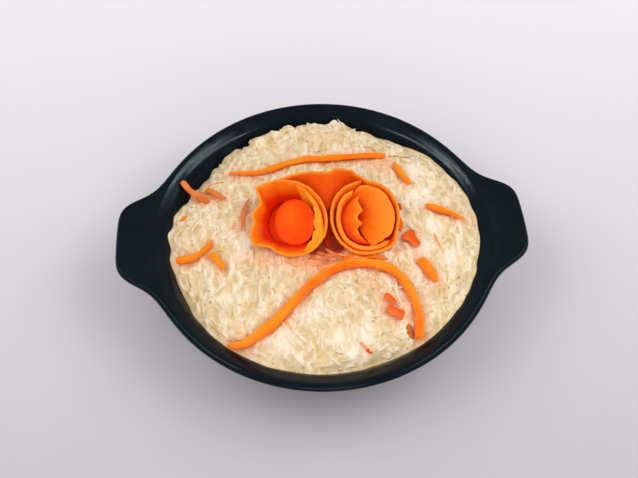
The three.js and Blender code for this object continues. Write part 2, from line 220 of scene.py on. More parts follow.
# A height from coarse and fine noise, for bumps.
def makeReliefGroup():
    group, given = newGroup("relief", {"Coarse Scale": 300.0, "Fine Scale": 1500.0, "Fine Share": 0.3},
                            {"Height": "Float"})
    fine = addProduct(group, addNoise(group, given["Fine Scale"]), given["Fine Share"])
    total = addNode(group, "Math", {0: addNoise(group, given["Coarse Scale"], 3.0), 1: fine}, operation="ADD")
    addNode(group, "NodeGroupOutput", {"Height": total.outputs[0]})
    return group


# Long soft strokes in two crossing directions, as a mask: noise stretched along each direction, and a third
# noise that chooses between them.
def makeStrokesGroup():
    group, given = newGroup("strokes", {"Scale": 500.0, "Low": 0.4, "High": 0.6}, {"Mask": "Float"})
    where = addNode(group, "TexCoord").outputs["Object"]
    strokes = []
    for turn in (0.6, -0.9):
        placed = addNode(group, "Mapping", {"Vector": where, "Rotation": (0, 0, turn), "Scale": (1, 0.22, 1)})
        strokes.append(addNoise(group, given["Scale"], 3.0, Vector=placed.outputs["Vector"], Distortion=0.6))
    share = addRange(group, addNoise(group, 130.0), 0.45, 0.55)
    mix = addNode(group, "Mix", {0: share, 2: strokes[0], 3: strokes[1]}).outputs[0]
    addNode(group, "NodeGroupOutput", {"Mask": addRange(group, mix, given["Low"], given["High"])})
    return group


mottleGroup = makeMottleGroup()
reliefGroup = makeReliefGroup()
strokesGroup = makeStrokesGroup()


def newMaterial(name, **values):
    material = bpy.data.materials.new(name)
    material.use_nodes = True
    shader = material.node_tree.nodes["Principled BSDF"]
    setInputs(material.node_tree, shader, {label.replace("_", " "): value for label, value in values.items()})
    return material, material.node_tree, shader


def addMottle(tree, colourA, colourB, scale, amount=1.0):
    inputs = {"Colour A": colourA, "Colour B": colourB, "Scale": scale, "Amount": amount}
    return addNode(tree, "Group", inputs, node_tree=mottleGroup).outputs


# The shader's colour, and its bumps from the relief group: both scales, fine share, strength, distance.
def finishShader(tree, shader, colour, coarse, fine, fineShare, strength, distance):
    height = addNode(tree, "Group", {"Coarse Scale": coarse, "Fine Scale": fine, "Fine Share": fineShare},
                     node_tree=reliefGroup).outputs["Height"]
    bump = addNode(tree, "Bump", {"Height": height, "Strength": strength, "Distance": distance})
    setInputs(tree, shader, {"Base Color": colour, "Normal": bump.outputs["Normal"]})


print("shader groups ready")


# Points at the given heights over the rim.
def raised(x, y, height):
    return np.stack([x, y, heapForm["rimHeight"] + height], -1)


# The heap's ground, shared by the slaw and by everything that lies on it

heapForm = {
    "rimHeight": 38,
    "crown": 4,          # height of the middle over the rim
    "power": 4,          # how late the dome falls
    "wallGap": 0.5,
    "ridge": (6, 65, 7, 27, 9.5),  # x, y, height, half width, half depth of the rise at the back
    "ridgePower": 12,
    "wallHeights": (-33, -28, -21, -10, -4.5, -2.1, -0.6),
    "wallRadii": (57, 62, 66.5, 72.5, 76, 79, 81.3),
    "edge": -4.6,        # where the slaw meets the wall, before the bells are added
    # bells along that edge: height, angle, half width in degrees. The last two raise it at the left and right
    "bells": ((-4.8, 146, 24), (-3, -75, 13), (-3.2, -157, 15), (-3.2, 60, 16), (-2.5, 98, 26),
        (1.5, 169, 8), (1.5, -3, 28)),
}


def wallRadius(height):
    return np.interp(height, heapForm["wallHeights"], heapForm["wallRadii"])


# The slaw's edge on the wall: one height and the sum of the bells, by the angle in degrees.
def contactHeight(angle):
    total = np.full(np.shape(angle), heapForm["edge"])
    for height, centre, width in heapForm["bells"]:
        turn = (angle - centre + 180) % 360 - 180
        total = total + height * np.exp(-(turn / width) ** 2)
    return total


def angleOf(x, y):
    return np.degrees(np.arctan2(y, x))


def contactRadius(angle):
    return wallRadius(contactHeight(angle)) - heapForm["wallGap"]


# From the rim: a dome that is flat in the middle and falls with a power of the radius, plus a
# bell-shaped rise at the back and two low ripples.
def heapHeight(x, y):
    angle = angleOf(x, y)
    share = np.minimum(1, np.hypot(x, y) / contactRadius(angle))
    contact = contactHeight(angle)
    fall = 1 - share ** heapForm["power"]
    rx, ry, height, halfWidth, halfDepth = heapForm["ridge"]
    bell = height * np.exp(-((x - rx) / halfWidth) ** 2 - ((y - ry) / halfDepth) ** 2)
    back = bell * (1 - share ** heapForm["ridgePower"])
    waves = 0.7 * np.sin(x / 8 + 0.6) * np.cos(y / 10 - 0.4) + 0.5 * np.sin(x / 5.2 - y / 6.7 + 2)
    return contact + (heapForm["crown"] - contact) * fall + back + fall * waves


# The dish

dish = {
    "rimRadius": 85, "tabReach": 91.8, "tabHalfWidth": 23.46, "tabSquareness": 6, "tabBlend": 5.9,
    "tabLift": 2, "tabDip": 0.8, "tabLength": 15, "lipHeight": 37.2, "floorHeight": 4, "underHeight": 1.2,
    "fineness": 0.25,  # how much closer the rings' points lie at the tabs
    "around": 480, "along": 120,
    "colour": (0.0005, 0.0032, 0.0062), "lighter": (0.001, 0.0048, 0.0085), "dust": (0.004, 0.007, 0.012),
    "roughness": (0.12, 0.27),
}

# The section as (radius, height, share of the tab): under the floor, up outside, over the rim, down inside.
dishSection = [
    (0, 1.2, 0), (46, 1.2, 0), (48.6, 0.2, 0), (50, 0, 0), (56, 0, 0), (58, 0.3, 0), (61, 1.9, 0),
    (66.5, 8, 0), (71.5, 16, 0), (77.5, 27, 0), (81.5, 32, 0), (84.2, 34.4, 1), (85, 35.8, 1),
    (84.6, 37.1, 1), (83.6, 37.9, 1), (82.9, 38, 0.5), (82.3, 37.9, 0), (81.3, 37.4, 0), (79, 35.9, 0),
    (76, 33.5, 0), (72.5, 28, 0), (66.5, 17, 0), (62, 10, 0), (57, 5, 0), (50, 4, 0), (0, 4, 0),
]


# The plan outline: a circle and a square-ended tab joined by a smooth maximum of powers.
def rimOutline(angle):
    across = np.abs(np.cos(angle)) / dish["tabReach"]
    along = np.abs(np.sin(angle)) / dish["tabHalfWidth"]
    tab = (across ** dish["tabSquareness"] + along ** dish["tabSquareness"]) ** (-1 / dish["tabSquareness"])
    return (dish["rimRadius"] ** dish["tabBlend"] + tab ** dish["tabBlend"]) ** (1 / dish["tabBlend"])


def makeGlaze():
    material, tree, shader = newMaterial("darkGlaze", IOR=1.25, Specular_Tint=(0.82, 0.97, 1, 1))
    mottle = addMottle(tree, dish["colour"], dish["lighter"], 90.0)
    dust = addMottle(tree, mottle["Colour"], dish["dust"], 900.0, 0.25)
    setInputs(tree, shader, {"Roughness": addRange(tree, mottle["Mask"], 0.0, 1.0, *dish["roughness"])})
    finishShader(tree, shader, dust["Colour"], 120.0, 700.0, 0.25, 0.25, 0.0002)
    return material


# A profile turned about Z: each point's radius grows by its share of the tab, and the tab's top
# lifts and dips.
def makeDish():
    section = smoothThrough(dishSection, dish["along"])[1:-1]
    turn = fullTurn(dish["around"])
    angle = turn - dish["fineness"] * np.sin(2 * turn)
    reach = rimOutline(angle) - dish["rimRadius"]
    tip = np.minimum(1, reach / dish["tabLength"])
    radius, level, share = (section[:, n:n + 1] for n in range(3))
    share = np.clip(share, 0, 1)
    radius = radius + share * reach[None]
    dip = dish["tabDip"] * tip * 4 * share * (1 - share) * (level > dish["lipHeight"])
    height = level + dish["tabLift"] * tip ** 1.5 * share ** 2 - dip
    rings = np.stack([radius * np.cos(angle), radius * np.sin(angle), height], -1)
    rings = np.clip(rings, *(np.array(corner) / mm for corner in cadBox))
    ends = np.array([[[0, 0, dish["underHeight"]], [0, 0, dish["floorHeight"]]]])
    piece = ringPieces("servingDish", rings[None], ends, makeGlaze())
    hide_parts("dish")


makeDish()
print("dish ready")


# Carrot toppings: plan paths in millimetres

toppings = {
    "lift": 0.4,            # over the heap
    "thickness": 1.5,
    "peel": 1.2,
    "strips": [  # node, width, share of it at both ends, rise of the first end, look, plan points
        ("carrot_strip_front", 5, 1, 1, 0, "pale",
         [(-47.2, -58.2), (-42.4, -59.4), (-36.6, -58), (-27, -52.3), (-17.3, -43.2), (-8.2, -34.3),
          (1.4, -27.2), (10.5, -23.9), (20.4, -24.1), (29.6, -27.6), (35.6, -34.9), (39.2, -43.1),
          (40.6, -52.1), (39.5, -61.6)]),
        ("carrot_strip_back", 4.2, 0.35, 0.9, 0, "orange",
         [(-44.9, 39.7), (-30.4, 35.7), (-16, 39.4), (-5.1, 41.8), (2.1, 41.8), (16.6, 43.2), (35.7, 42.8)]),
        ("carrot_strip_far_left", 3.6, 0.8, 1, 7, "brick", [(-68.6, 35.7), (-61.5, 28), (-55.5, 21.5)]),
        ("carrot_strip_far_left_tail", 3.2, 1, 0.3, 0, "brick", [(-56.8, 31.4), (-52.5, 27), (-47.4, 20.6)]),
        ("carrot_strip_left", 3.6, 1, 0.2, 0, "orange",
         [(-71, -10.8), (-62.8, -11.5), (-55.9, -7.7), (-53.9, -3.6)]),
        ("carrot_strip_left_leg", 3.4, 0.9, 0.7, 0, "orange", [(-54.2, -11.4), (-51, -15.5), (-47.9, -20.9)]),
        ("carrot_strip_far_right", 3.6, 0.4, 0.6, 0, "orange", [(39.6, 38), (42.2, 30), (45.9, 22.5)]),
        ("carrot_strip_right", 3.8, 0.8, 0.15, 0, "orange", [(52, 8.7), (61, 5), (70.3, 1.4)]),
        ("carrot_strip_near_right", 5.2, 1, 0.35, 0, "orange", [(44.6, -22.8), (48, -28), (51.3, -34.2)]),
        ("carrot_chunk", 6, 1.1, 0.4, 0, "clay", [(40, -7.4), (42.6, -11.5), (45.1, -15.4)]),
        ("carrot_bit_upper", 3.4, 0.8, 0.8, 0, "clay", [(25.8, -41.3), (30.5, -45.4)]),
        ("carrot_bit_lower", 4.2, 0.7, 0.9, 0, "clay", [(26.1, -47.6), (33.3, -51.3)]),
        ("carrot_shred_left", 1.8, 0.4, 0.6, 0, "brick",
         [(-34.6, 18.6), (-36.6, 15), (-38.1, 7), (-38.7, -1)]),
    ],
    "firmness": 0.72,       # least width of a strip at its very end
    # width factors of the front strip by its length
    "frontWidths": ((0, 0.3), (0.03, 0.6), (0.08, 0.9), (0.15, 1.05), (0.22, 1), (0.29, 0.84),
        (0.36, 0.92), (0.44, 0.92), (0.52, 0.93), (0.62, 0.98), (0.74, 0.93), (0.86, 0.84), (1, 0.84)),
    "leftCup": (-15.6, 1, 17, 19.3),   # x, y and the two half widths of the mouth
    "rightCup": (20.6, -0.2, 15.9, 18.6),
    "nearMouth": (-18.6, 6),               # y and height over the rim
    "farMouth": (20, 15.5),
    # each turn as (angle, factor on the half widths): the left one starts at 112 and winds down to -262, the
    # right one starts at 80 and winds down to -268
    "leftTop": ((-262, 1.04), (-242, 1.06), (-228, 1.17), (-222, 1.21), (-216, 1.03), (-209, 0.9),
        (-204, 0.89), (-194, 0.98), (-184, 1.04), (-174, 0.99), (-166, 1.12), (-158, 1.22), (-148, 1.24),
        (-143, 1.12), (-134, 1), (-126, 0.95), (-98, 1), (-72, 1.04), (-48, 1.06), (-28, 1.07), (0, 1.03),
        (35, 0.96), (62, 0.945), (80, 0.95), (94, 0.97), (104, 1.01), (112, 1.035)),
    "leftFoot": ((-262, 0.77), (-235, 0.72), (-200, 0.64), (-90, 0.64), (-55, 0.8), (-30, 0.95), (0, 0.97),
        (40, 0.92), (70, 0.74), (90, 0.7), (112, 0.735)),
    "rightTop": ((-268, 0.925), (-246, 0.934), (-222, 0.98), (-202, 1.01), (-180, 1.02), (-155, 1.04),
        (-125, 1.05), (-102, 1.05), (-82, 1.03), (-60, 1.07), (-50, 1.13), (-42, 1.12), (-30, 1.03),
        (-15, 1.01), (15, 1.03), (44, 1.01), (66, 0.96), (80, 0.945)),
    "rightFoot": ((-268, 0.9), (-240, 0.91), (-180, 0.98), (-100, 0.95), (-40, 0.93), (40, 0.95),
        (80, 0.94)),
    "valley": ((-17, 18.5), (-11.5, 20.6), (-7, 18.8), (-3, 14.2), (0.4, 9), (3, 6.8), (5.6, 9), (9, 14),
        (12.5, 17.8), (16.5, 19.2), (21, 18)),  # the bridge's foot between the cups
    "sheet": ((-11.5, 22.8), (-4.3, 23.4), (5, 23), (8, 24.2), (15.4, 23.3), (18.4, 20.6)),
    "plug": (-13.1, 0.2, 9.8, 12.3, 10.4, 0.246),   # x, y, half widths, top, slope
    "plugSection": ((0.9, 0, 1), (1, 0, 1), (1, 0.1, 1), (0.96, 0.16, 0.1), (0.96, 0.3, 0), (1, 0.5, 0),
        (0.94, 0.7, 0), (0.76, 0.86, 0), (0.5, 0.955, 0), (0.25, 0.99, 0), (0.05, 1, 0)),
    # foot, bend and toothed tip of the left cup's ledge: angle and factor of the half widths
    "ledgeFoot": ((-80, 1), (-60, 1.045), (-34, 1.06), (-8, 0.89), (30, 0.84), (56, 0.8), (78, 0.91)),
    "ledgeBend": ((-80, 1), (-34, 1.02), (-8, 0.97), (8, 0.94), (56, 0.88), (78, 0.92)),
    "ledgeTip": ((-80, 0.99), (-76, 0.94), (-70, 0.92), (-64, 0.89), (-58, 0.86), (-52, 0.83), (-46, 0.85),
        (-38, 0.79), (-31, 0.76), (-25, 0.79), (-16, 0.72), (-9, 0.67), (-3, 0.71), (5, 0.72), (12, 0.75),
        (18, 0.735), (25, 0.79), (33, 0.77), (40, 0.8), (56, 0.84), (66, 0.89), (78, 0.925)),
    # the right cup's second ring and its petals, in the same way
    "roseTop": ((112, 0.78), (128, 0.79), (150, 0.82), (165, 0.8), (180, 0.82), (200, 0.83), (222, 0.87),
        (236, 0.865), (250, 0.9), (290, 0.91), (314, 0.95)),
    "roseFoot": ((112, 0.78), (180, 0.79), (250, 0.84), (314, 0.88)),
    "petalFoot": ((104, 0.68), (220, 0.7), (280, 0.76)),
    "petalTop": ((-84, 0.78), (-50, 0.8), (-36, 0.87), (0, 0.88), (60, 0.86), (96, 0.82), (134, 0.76)),
    # the floors of the cups, dark sheets of painted shade: angle and factor of the half widths
    "leftFloor": ((0, 0.95), (40, 0.9), (70, 0.8), (98, 0.82), (125, 0.78), (160, 0.71), (200, 0.66),
        (270, 0.66), (305, 0.82), (330, 0.94), (360, 0.95)),
    "rightFloor": ((0, 0.94), (90, 0.93), (120, 0.93), (180, 0.97), (260, 0.95), (320, 0.92), (360, 0.94)),
    "zigzag": ((10.5, 18.6), (8.4, 17.3), (2.8, 19.6), (1.1, 17.2), (-1.2, 16.6), (-3.6, 19), (-5.5, 16.2),
        (-9.5, 17), (-12.5, 19.5)),  # y and x of the left petal's edge, from the far end
    # Painted glow: the colour of a faint emission in every carrot material, which lightens it though it is no
    # lamp.
    "paintedLight": (0.9, 0.12, 0.002),
    # Each look's deep colour is painted shade, mixed in deep inside the cups; its cut edge colour also serves
    # some pieces as painted light on their lit parts.
    "looks": {  # body, lighter patches, deep shade, cut edges
        "orange": ((0.95, 0.165, 0.004), (0.95, 0.22, 0.01), (0.65, 0.05, 0.002), (0.85, 0.27, 0.008)),
        "pale": ((0.95, 0.14, 0.006), (0.94, 0.2, 0.02), (0.7, 0.1, 0.004), (0.93, 0.28, 0.014)),
        "rust": ((0.4, 0.09, 0.015), (0.6, 0.18, 0.04), (0.25, 0.04, 0.01), (0.6, 0.2, 0.06)),
        "peel": ((0.97, 0.19, 0.003), (0.97, 0.25, 0.006), (0.6, 0.005, 0.0003), (0.95, 0.28, 0.03)),
        # The ledge's colours are the peel's made lighter and yellower: painted light on its face that is lit
        # from above.
        "ledge": ((0.95, 0.27, 0.01), (0.95, 0.36, 0.02), (0.8, 0.08, 0.002), (0.94, 0.4, 0.035)),
        "red": ((0.96, 0.04, 0.001), (0.97, 0.065, 0.0015), (0.5, 0.004, 0.0002), (0.97, 0.13, 0.006)),
        "pink": ((0.88, 0.3, 0.1), (0.9, 0.42, 0.19), (0.74, 0.2, 0.08), (0.9, 0.48, 0.27)),
        "clay": ((0.88, 0.12, 0.014), (0.9, 0.19, 0.035), (0.5, 0.04, 0.004), (0.7, 0.09, 0.008)),
        "brick": ((0.64, 0.13, 0.025), (0.76, 0.22, 0.065), (0.4, 0.05, 0.01), (0.72, 0.21, 0.05)),
        # floor: the very dark red of the cup floors and of the dark strip between the cups, painted shade
        "floor": ((0.4, 0.003, 0.0002), (0.46, 0.006, 0.0003), (0.3, 0.003, 0.0003), (0.4, 0.01, 0.001)),
    },
}


# The vertex value "edge" is 1 on a cut edge and mixes in the cut edge's colour, which some pieces also use as
# painted light; "shade" is 1 deep inside a cup and mixes in painted shade.
def makeCarrotMaterial(look):
    body, light, deep, cut = toppings["looks"][look]
    # Each carrot material glows faintly in that colour, a painted glow.
    material, tree, shader = newMaterial(
        "carrot" + look.capitalize(), Roughness=0.36, IOR=1.4, Specular_IOR_Level=0.07,
        Subsurface_Weight=0.15, Subsurface_Scale=0.0015, Subsurface_Radius=(1.0, 0.35, 0.08),
        Emission_Strength=0.05, Emission_Color=toppings["paintedLight"])
    broad = addMottle(tree, body, light, 170.0)
    fibre = addMottle(tree, broad["Colour"], deep, 1100.0, 0.16)
    colour = tintByValues(tree, fibre["Colour"], (("shade", deep, 1.0), ("edge", cut, 0.9)))
    finishShader(tree, shader, colour, 600.0, 2400.0, 0.4, 0.4, 0.0002)
    return material


# The cups' mouths lie on one slope: the height over the rim by y.
def mouthHeight(y):
    (nearY, nearZ), (farY, farZ) = toppings["nearMouth"], toppings["farMouth"]
    return nearZ + (y - nearY) / (farY - nearY) * (farZ - nearZ)


# Points on a cup's ellipse at the given angles, with the half widths times the named table's factor there.
def aroundCup(cup, angle, table, share=1.0):
    x, y, rx, ry = toppings[cup]
    factor = np.interp(angle, *np.array(toppings[table]).T) * share
    return np.stack([x + rx * factor * np.cos(angle * degree), y + ry * factor * np.sin(angle * degree)], -1)


# Rings of a flat rounded bar: a superellipse with the width sideways and the thickness upward.
def roundedSlab(centre, sideways, upward, width, thickness, turn):
    flat, tall = (np.sign(wave) * np.abs(wave) ** 0.5 / 2 for wave in (np.cos(turn), np.sin(turn)))
    return (centre[:, None] + sideways[:, None] * (flat[:, None] * width[:, None, None])
            + upward[:, None] * (tall[:, None] * thickness[:, None, None]))


# A flat bar along a plan path. It lies on the heap, tilts with the ground and waves a little. The vertex
# value "edge" splits its top lengthwise into two colours along a wandering line.
def makeStrip(node, width, firstEnd, lastEnd, rise, points, material):
    path, normal, length = evenPath(points, max(16, len(points) * 9))
    along = np.linspace(0, 1, len(path))
    far = along * length
    left, middle, right = (heapHeight(*(path + normal * side).T) for side in (-width / 2, 0, width / 2))
    seed = len(node) + int(length)
    middle = (left + middle + right) / 3 + toppings["lift"] + toppings["thickness"] / 2
    wave = 0.18 * ripple(path[:, 0], path[:, 1], seed, 5.0)
    centre = raised(*path.T, middle + rise * (1 - along) ** 2 + wave)
    forward = unit(np.gradient(centre, axis=0))
    sideways = unit(np.column_stack([normal, (right - left) / width + 0.12 * np.sin(along * 9 + seed)]))
    upward = np.cross(forward, sideways)
    upward *= np.sign(upward[:, 2:3])
    taper = 1 + (firstEnd - 1) * (1 - along) ** 4 + (lastEnd - 1) * along ** 4
    if node == "carrot_strip_front":
        taper = np.interp(along, *np.array(toppings["frontWidths"]).T)
    toEnd = np.minimum(along, 1 - along) * length
    rounding = np.sqrt(1 - np.clip(1 - toEnd / (0.2 * width), 0, 1) ** 2)
    taper = taper * np.maximum(toppings["firmness"], rounding)
    uneven = 2.4 if material.name == "carrotClay" else 1.0
    widths = width * taper * (1 + uneven * (0.08 * np.sin(far / 2.6 + seed) + 0.05 * np.sin(far / 1.1)))
    thick = toppings["thickness"] * min(1, 0.35 + 0.13 * width) * (0.9 + 0.1 * np.sin(far / 4.0))
    turn = fullTurn(20)
    rings = roundedSlab(centre, sideways, upward, widths, thick * np.maximum(0.5, taper.clip(0, 1)), turn)
    ends = centre[[0, -1]] + forward[[0, -1]] * [[-0.15], [0.15]]
    split = 0.35 * np.sin(far / 11 + seed) + 0.2 * np.sin(far / 4)
    top = withEnds(np.clip(0.5 + 1.6 * (np.cos(turn) + split[:, None]), 0, 1), 0.5)
    tones = {"edge": top, "shade": 0 * top}
    piece = ringPieces(node.replace("_", "-"), rings[None], ends[None], material, tones)
    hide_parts(node)


# A grid's values on the front, on the crest and on the back of a sheet.
def bothSides(grid):
    return np.concatenate([grid, grid[:, -1:], grid[:, ::-1]], 1)


# A sheet of even thickness around a middle surface, a grid (steps, rows, 3) whose last column is the top
# edge. The normals come from the grid's own differences, and the top edge is rounded. Painted shade is given
# per grid point, and so is an optional painted light, which adds the cut edge's colour.
def makeSheet(node, surface, shade, material, rim=0.8, thickness=1.2, paintedLight=None):
    forward = np.gradient(surface, axis=0)
    upward = np.gradient(surface, axis=1)
    normal = unit(np.cross(forward, upward))
    rows, half = surface.shape[1], thickness / 2
    steps = np.arange(len(surface))
    fade = np.clip(np.minimum(steps, steps[::-1]) / 7, 0.3, 1)[:, None, None]
    thin = (1 - 0.4 * np.linspace(0, 1, rows) ** 6)[None, :, None] * half * fade
    crest = surface[:, -1:] + unit(upward[:, -1:]) * half * 0.5
    rings = np.concatenate([surface + normal * thin, crest, (surface - normal * thin)[:, ::-1]], 1)
    ends = rings[[0, -1]].mean(axis=1)
    up = bothSides(np.linspace(0, 1, rows)[None])
    edge = np.broadcast_to(np.clip((up - rim) / (1 - rim), 0, 1) ** 2, rings.shape[:2])
    if paintedLight is not None:
        edge = np.maximum(edge, bothSides(paintedLight))
    tones = {"edge": withEnds(edge), "shade": withEnds(bothSides(shade))}
    piece = ringPieces(node.replace("_", "-"), rings[None], ends[None], material, tones)
    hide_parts(node)


# The middle surface of an upright ribbon between a foot path on the heap and a top path on the sloping mouth.
# Its plan position goes from the foot to the top as 1 - (1 - up) ** curl, and its height goes evenly.
def ribbonSurface(foot, top, drop, curl=1.3, rows=16):
    up = np.linspace(0, 1, rows)[None, :, None]
    low = heapHeight(*foot.T) + toppings["lift"] + toppings["peel"] / 2
    high = np.maximum(low + 1, mouthHeight(top[:, 1]) - drop)
    plan = foot[:, None] + (top - foot)[:, None] * (1 - (1 - up) ** curl)
    return raised(plan[..., 0], plan[..., 1], low[:, None] + up[..., 0] * (high - low)[:, None])


# The long ribbon: down round the left cup, across the back as a sheet, and down round the right cup.
def makeScroll(material):
    leftAngle, rightAngle = np.linspace(112, -262, 300), np.linspace(80, -268, 230)
    leftTop, leftFoot = (aroundCup("leftCup", leftAngle, table) for table in ("leftTop", "leftFoot"))
    rightTop, rightFoot = (aroundCup("rightCup", rightAngle, table) for table in ("rightTop", "rightFoot"))
    bridge = evenPath([leftTop[-1], *toppings["sheet"], rightTop[0]], 62)[0][1:-1]
    share = np.linspace(0, 1, 62)[1:-1]
    x, ends = (leftFoot[-1, n] * (1 - share) + rightFoot[0, n] * share for n in range(2))
    calm = np.clip(np.minimum(share, 1 - share) / 0.12, 0, 1)
    y = ends * (1 - calm) + np.interp(x, *np.array(toppings["valley"]).T) * calm
    top = np.concatenate([leftTop, bridge, rightTop])
    foot = np.concatenate([leftFoot, np.stack([x, y], -1), rightFoot])
    count = np.arange(len(top))
    surface = ribbonSurface(foot, top, 0.2 * np.sin(count * 0.35) + 0.12 * np.sin(count * 0.9))
    up = np.linspace(0, 1, surface.shape[1])[None]
    shade = np.broadcast_to(np.clip((1 - up) * 1.3, 0, 1) ** 1.15, surface.shape[:2]).copy()
    shade[len(leftTop):len(leftTop) + len(bridge)] = 0.5 + 0.3 * (1 - up)
    makeSheet("carrot_scroll", surface, shade, material, 0.84, 1.6)


# The ledge in the left cup: it rises beside the wall and then bends inwards to a toothed edge, and its near
# part lies on the wall's rim. Between foot, bend and tip it follows a quadratic curve.
def makeLining(material):
    angle = np.linspace(-80, 78, 170)
    over = np.clip((-8 - angle) / 26, 0, 1)  # 1 where it lies on the rim
    foot, bend, tip = (aroundCup("leftCup", angle, table) for table in ("ledgeFoot", "ledgeBend", "ledgeTip"))
    low = heapHeight(*foot.T) + toppings["lift"] + toppings["peel"] / 2
    ends = np.maximum(over, np.clip(1 - (78 - angle) / 26, 0, 1) ** 1.5)
    low = low * (1 - ends) + (mouthHeight(foot[:, 1]) - 2.2 + 1.6 * over) * ends
    heights = low, mouthHeight(bend[:, 1]) + 0.4, mouthHeight(tip[:, 1]) - 1.9 + over
    corners = np.stack([np.column_stack(pair) for pair in zip((foot, bend, tip), heights)], 1)
    up = np.linspace(0, 1, 18)
    surface = np.einsum("kn,akc->anc", [(1 - up) ** 2, 2 * up * (1 - up), up ** 2], corners)
    surface[..., 2] += heapForm["rimHeight"]
    makeSheet("carrot_lining", surface, np.zeros(surface.shape[:2]), material)


def makeRose(material):
    angle = np.linspace(112, 314, 240)
    top, foot = (aroundCup("rightCup", angle, table) for table in ("roseTop", "roseFoot"))
    count = np.arange(240)
    surface = ribbonSurface(foot, top, 1.0 + 0.35 * np.sin(count * 0.19) + 0.25 * np.sin(count * 0.11))
    shade = np.broadcast_to(((1 - np.linspace(0, 1, surface.shape[1])) ** 1.2)[None], surface.shape[:2])
    makeSheet("carrot_rose", surface, shade, material, 0.7, 2.5)


# A petal lofted from a foot path to an edge path. Its plan position follows up ** bow and its height
# up ** climb.
def petalSurface(foot, edge, drop, bow, climb, rows=16):
    low = heapHeight(*foot.T) + toppings["lift"] + toppings["peel"]
    rise = mouthHeight(edge[:, 1]) - drop - low
    up = np.linspace(0, 1, rows)[None, :, None]
    plan = foot[:, None] + (edge - foot)[:, None] * up ** bow
    return raised(plan[..., 0], plan[..., 1], low[:, None] + rise[:, None] * up[..., 0] ** climb)


# The left petal closes over the middle with a zigzag edge and has painted shade towards its foot; the right
# one opens like half a bowl, with a ragged near edge, and is redder at the left and towards its foot, painted
# shade, and lighter at the right, painted light.
def makePetals(material):
    edgeY, edgeX = np.array(toppings["zigzag"]).T
    y = np.linspace(edgeY[0], edgeY[-1], 120)
    edge = np.stack([np.interp(-y, -edgeY, edgeX), y], -1)
    foot = aroundCup("rightCup", np.linspace(104, 280, 120), "petalFoot")
    left = petalSurface(foot, edge, 1.4, 1.5, 0.6)
    # Painted shade, darker towards the foot.
    fade = np.broadcast_to((1 - np.linspace(0, 1, 16)[None]) ** 0.8, left.shape[:2])
    makeSheet("carrot_petal_left", left, fade, material)
    angle = np.linspace(134, -84, 170)
    folds = np.sin(angle * 0.41) + 0.6 * np.sin(angle * 0.23 + 1) + 0.4 * np.sin(angle * 0.9)
    ragged = 0.35 * np.clip((-angle - 20) / 20, 0, 1) * folds + 0.15 * np.sin(angle * 0.3)
    ragged = ragged + 8 * np.clip((angle - 92) / 42, 0, 1) ** 1.3
    edge = aroundCup("rightCup", angle, "petalTop")
    start = np.clip((angle - 96) / 38, 0, 1)
    foot = np.stack([17.8 - 6.5 * start, 6.5 * np.clip(angle / 96, -9 / 6.5, 1) + 3.5 * start], -1)
    right = petalSurface(foot, edge, 1.0 + ragged, 1.0, 1.7, 28)
    up, angle = np.linspace(0, 1, 28)[None], angle[:, None]
    right[..., 2] += 0.3 * np.sin(up * 13 + angle * 0.025) * np.sin(up * math.pi)
    right[..., 2] += 0.6 * np.sin(angle * 0.13 + 0.8 + 1.5 * up) * up * (1 - 0.5 * up)
    # Painted shade: darker towards the foot, and more so at the far left.
    fade = np.clip((1 - up ** 0.6) * (0.55 + 0.6 * (angle + 84) / 180), 0, 1)
    fade = np.clip(fade + 0.45 * np.clip((25 - right[..., 0]) / 12, 0, 1), 0, 1)
    # Painted light: the lit right side takes the cut edge's colour.
    paintedLight = 0.75 * np.clip((right[..., 0] - 23) / 9, 0, 1)
    makeSheet("carrot_petal_right", right, fade, material, 0.85, 1.4, paintedLight)


# The plug: a ball whose rings are ellipses, leaning with the mouth, with a low skirt over the cup's floor.
def makePlug(material):
    x, y, rx, ry, top, slope = toppings["plug"]
    section = smoothThrough(toppings["plugSection"], 60)
    turn = fullTurn(72)
    cupX, cupY, cupRx, cupRy = toppings["leftCup"]
    radius, level, skirt = (section[:, n:n + 1] for n in range(3))
    skirt = np.clip(skirt, 0, 1)
    across, along = radius * np.cos(turn), radius * np.sin(turn)
    px = (x + rx * across) * (1 - skirt) + (cupX + 0.6 * cupRx * across) * skirt
    py = (y + ry * along) * (1 - skirt) + (cupY + 0.6 * cupRy * along) * skirt
    bottom = heapHeight(px, py) + toppings["lift"]
    rings = raised(px, py, bottom + level * (top + slope * (py - y) - bottom))
    ends = rings[[0, -1]].mean(axis=1)
    # Painted shade darkens the skirt, and painted light lightens a patch left of the dome's middle in the cut
    # edge's colour.
    shade = np.broadcast_to(np.clip(1 - level / 0.4, 0, 1), px.shape)
    light = 0.7 * np.exp(-((px - x) / rx + 0.25) ** 2 / 0.35 - ((py - y) / ry - 0.1) ** 2 / 0.5)
    tones = {"edge": withEnds(light, 0.6), "shade": withEnds(shade)}
    piece = ringPieces("carrot-plug", rings[None], ends[None], material, tones)
    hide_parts("carrot_plug")


# The floors inside the cups: two thin uneven discs that follow the ground out to the walls' feet, coloured
# dark red as painted shade deep in the cups.
def makeFloors(material):
    turn = fullTurn(96)
    share = np.concatenate([np.linspace(0.05, 1, 14), np.linspace(1, 0.05, 14)])[:, None]
    upper = np.repeat([-0.5, 0.65], 14)[:, None]
    rings = []
    for cup, floor in (("leftCup", "leftFloor"), ("rightCup", "rightFloor")):
        px, py = np.moveaxis(aroundCup(cup, turn / degree, floor, share), -1, 0)
        wave = 0.15 * ripple(px, py, 51, 1.5)
        rings.append(raised(px, py, heapHeight(px, py) + upper + wave))
    rings = np.array(rings)
    piece = ringPieces("cupShadeFloors", rings, rings[:, [0, -1]].mean(axis=2), material)


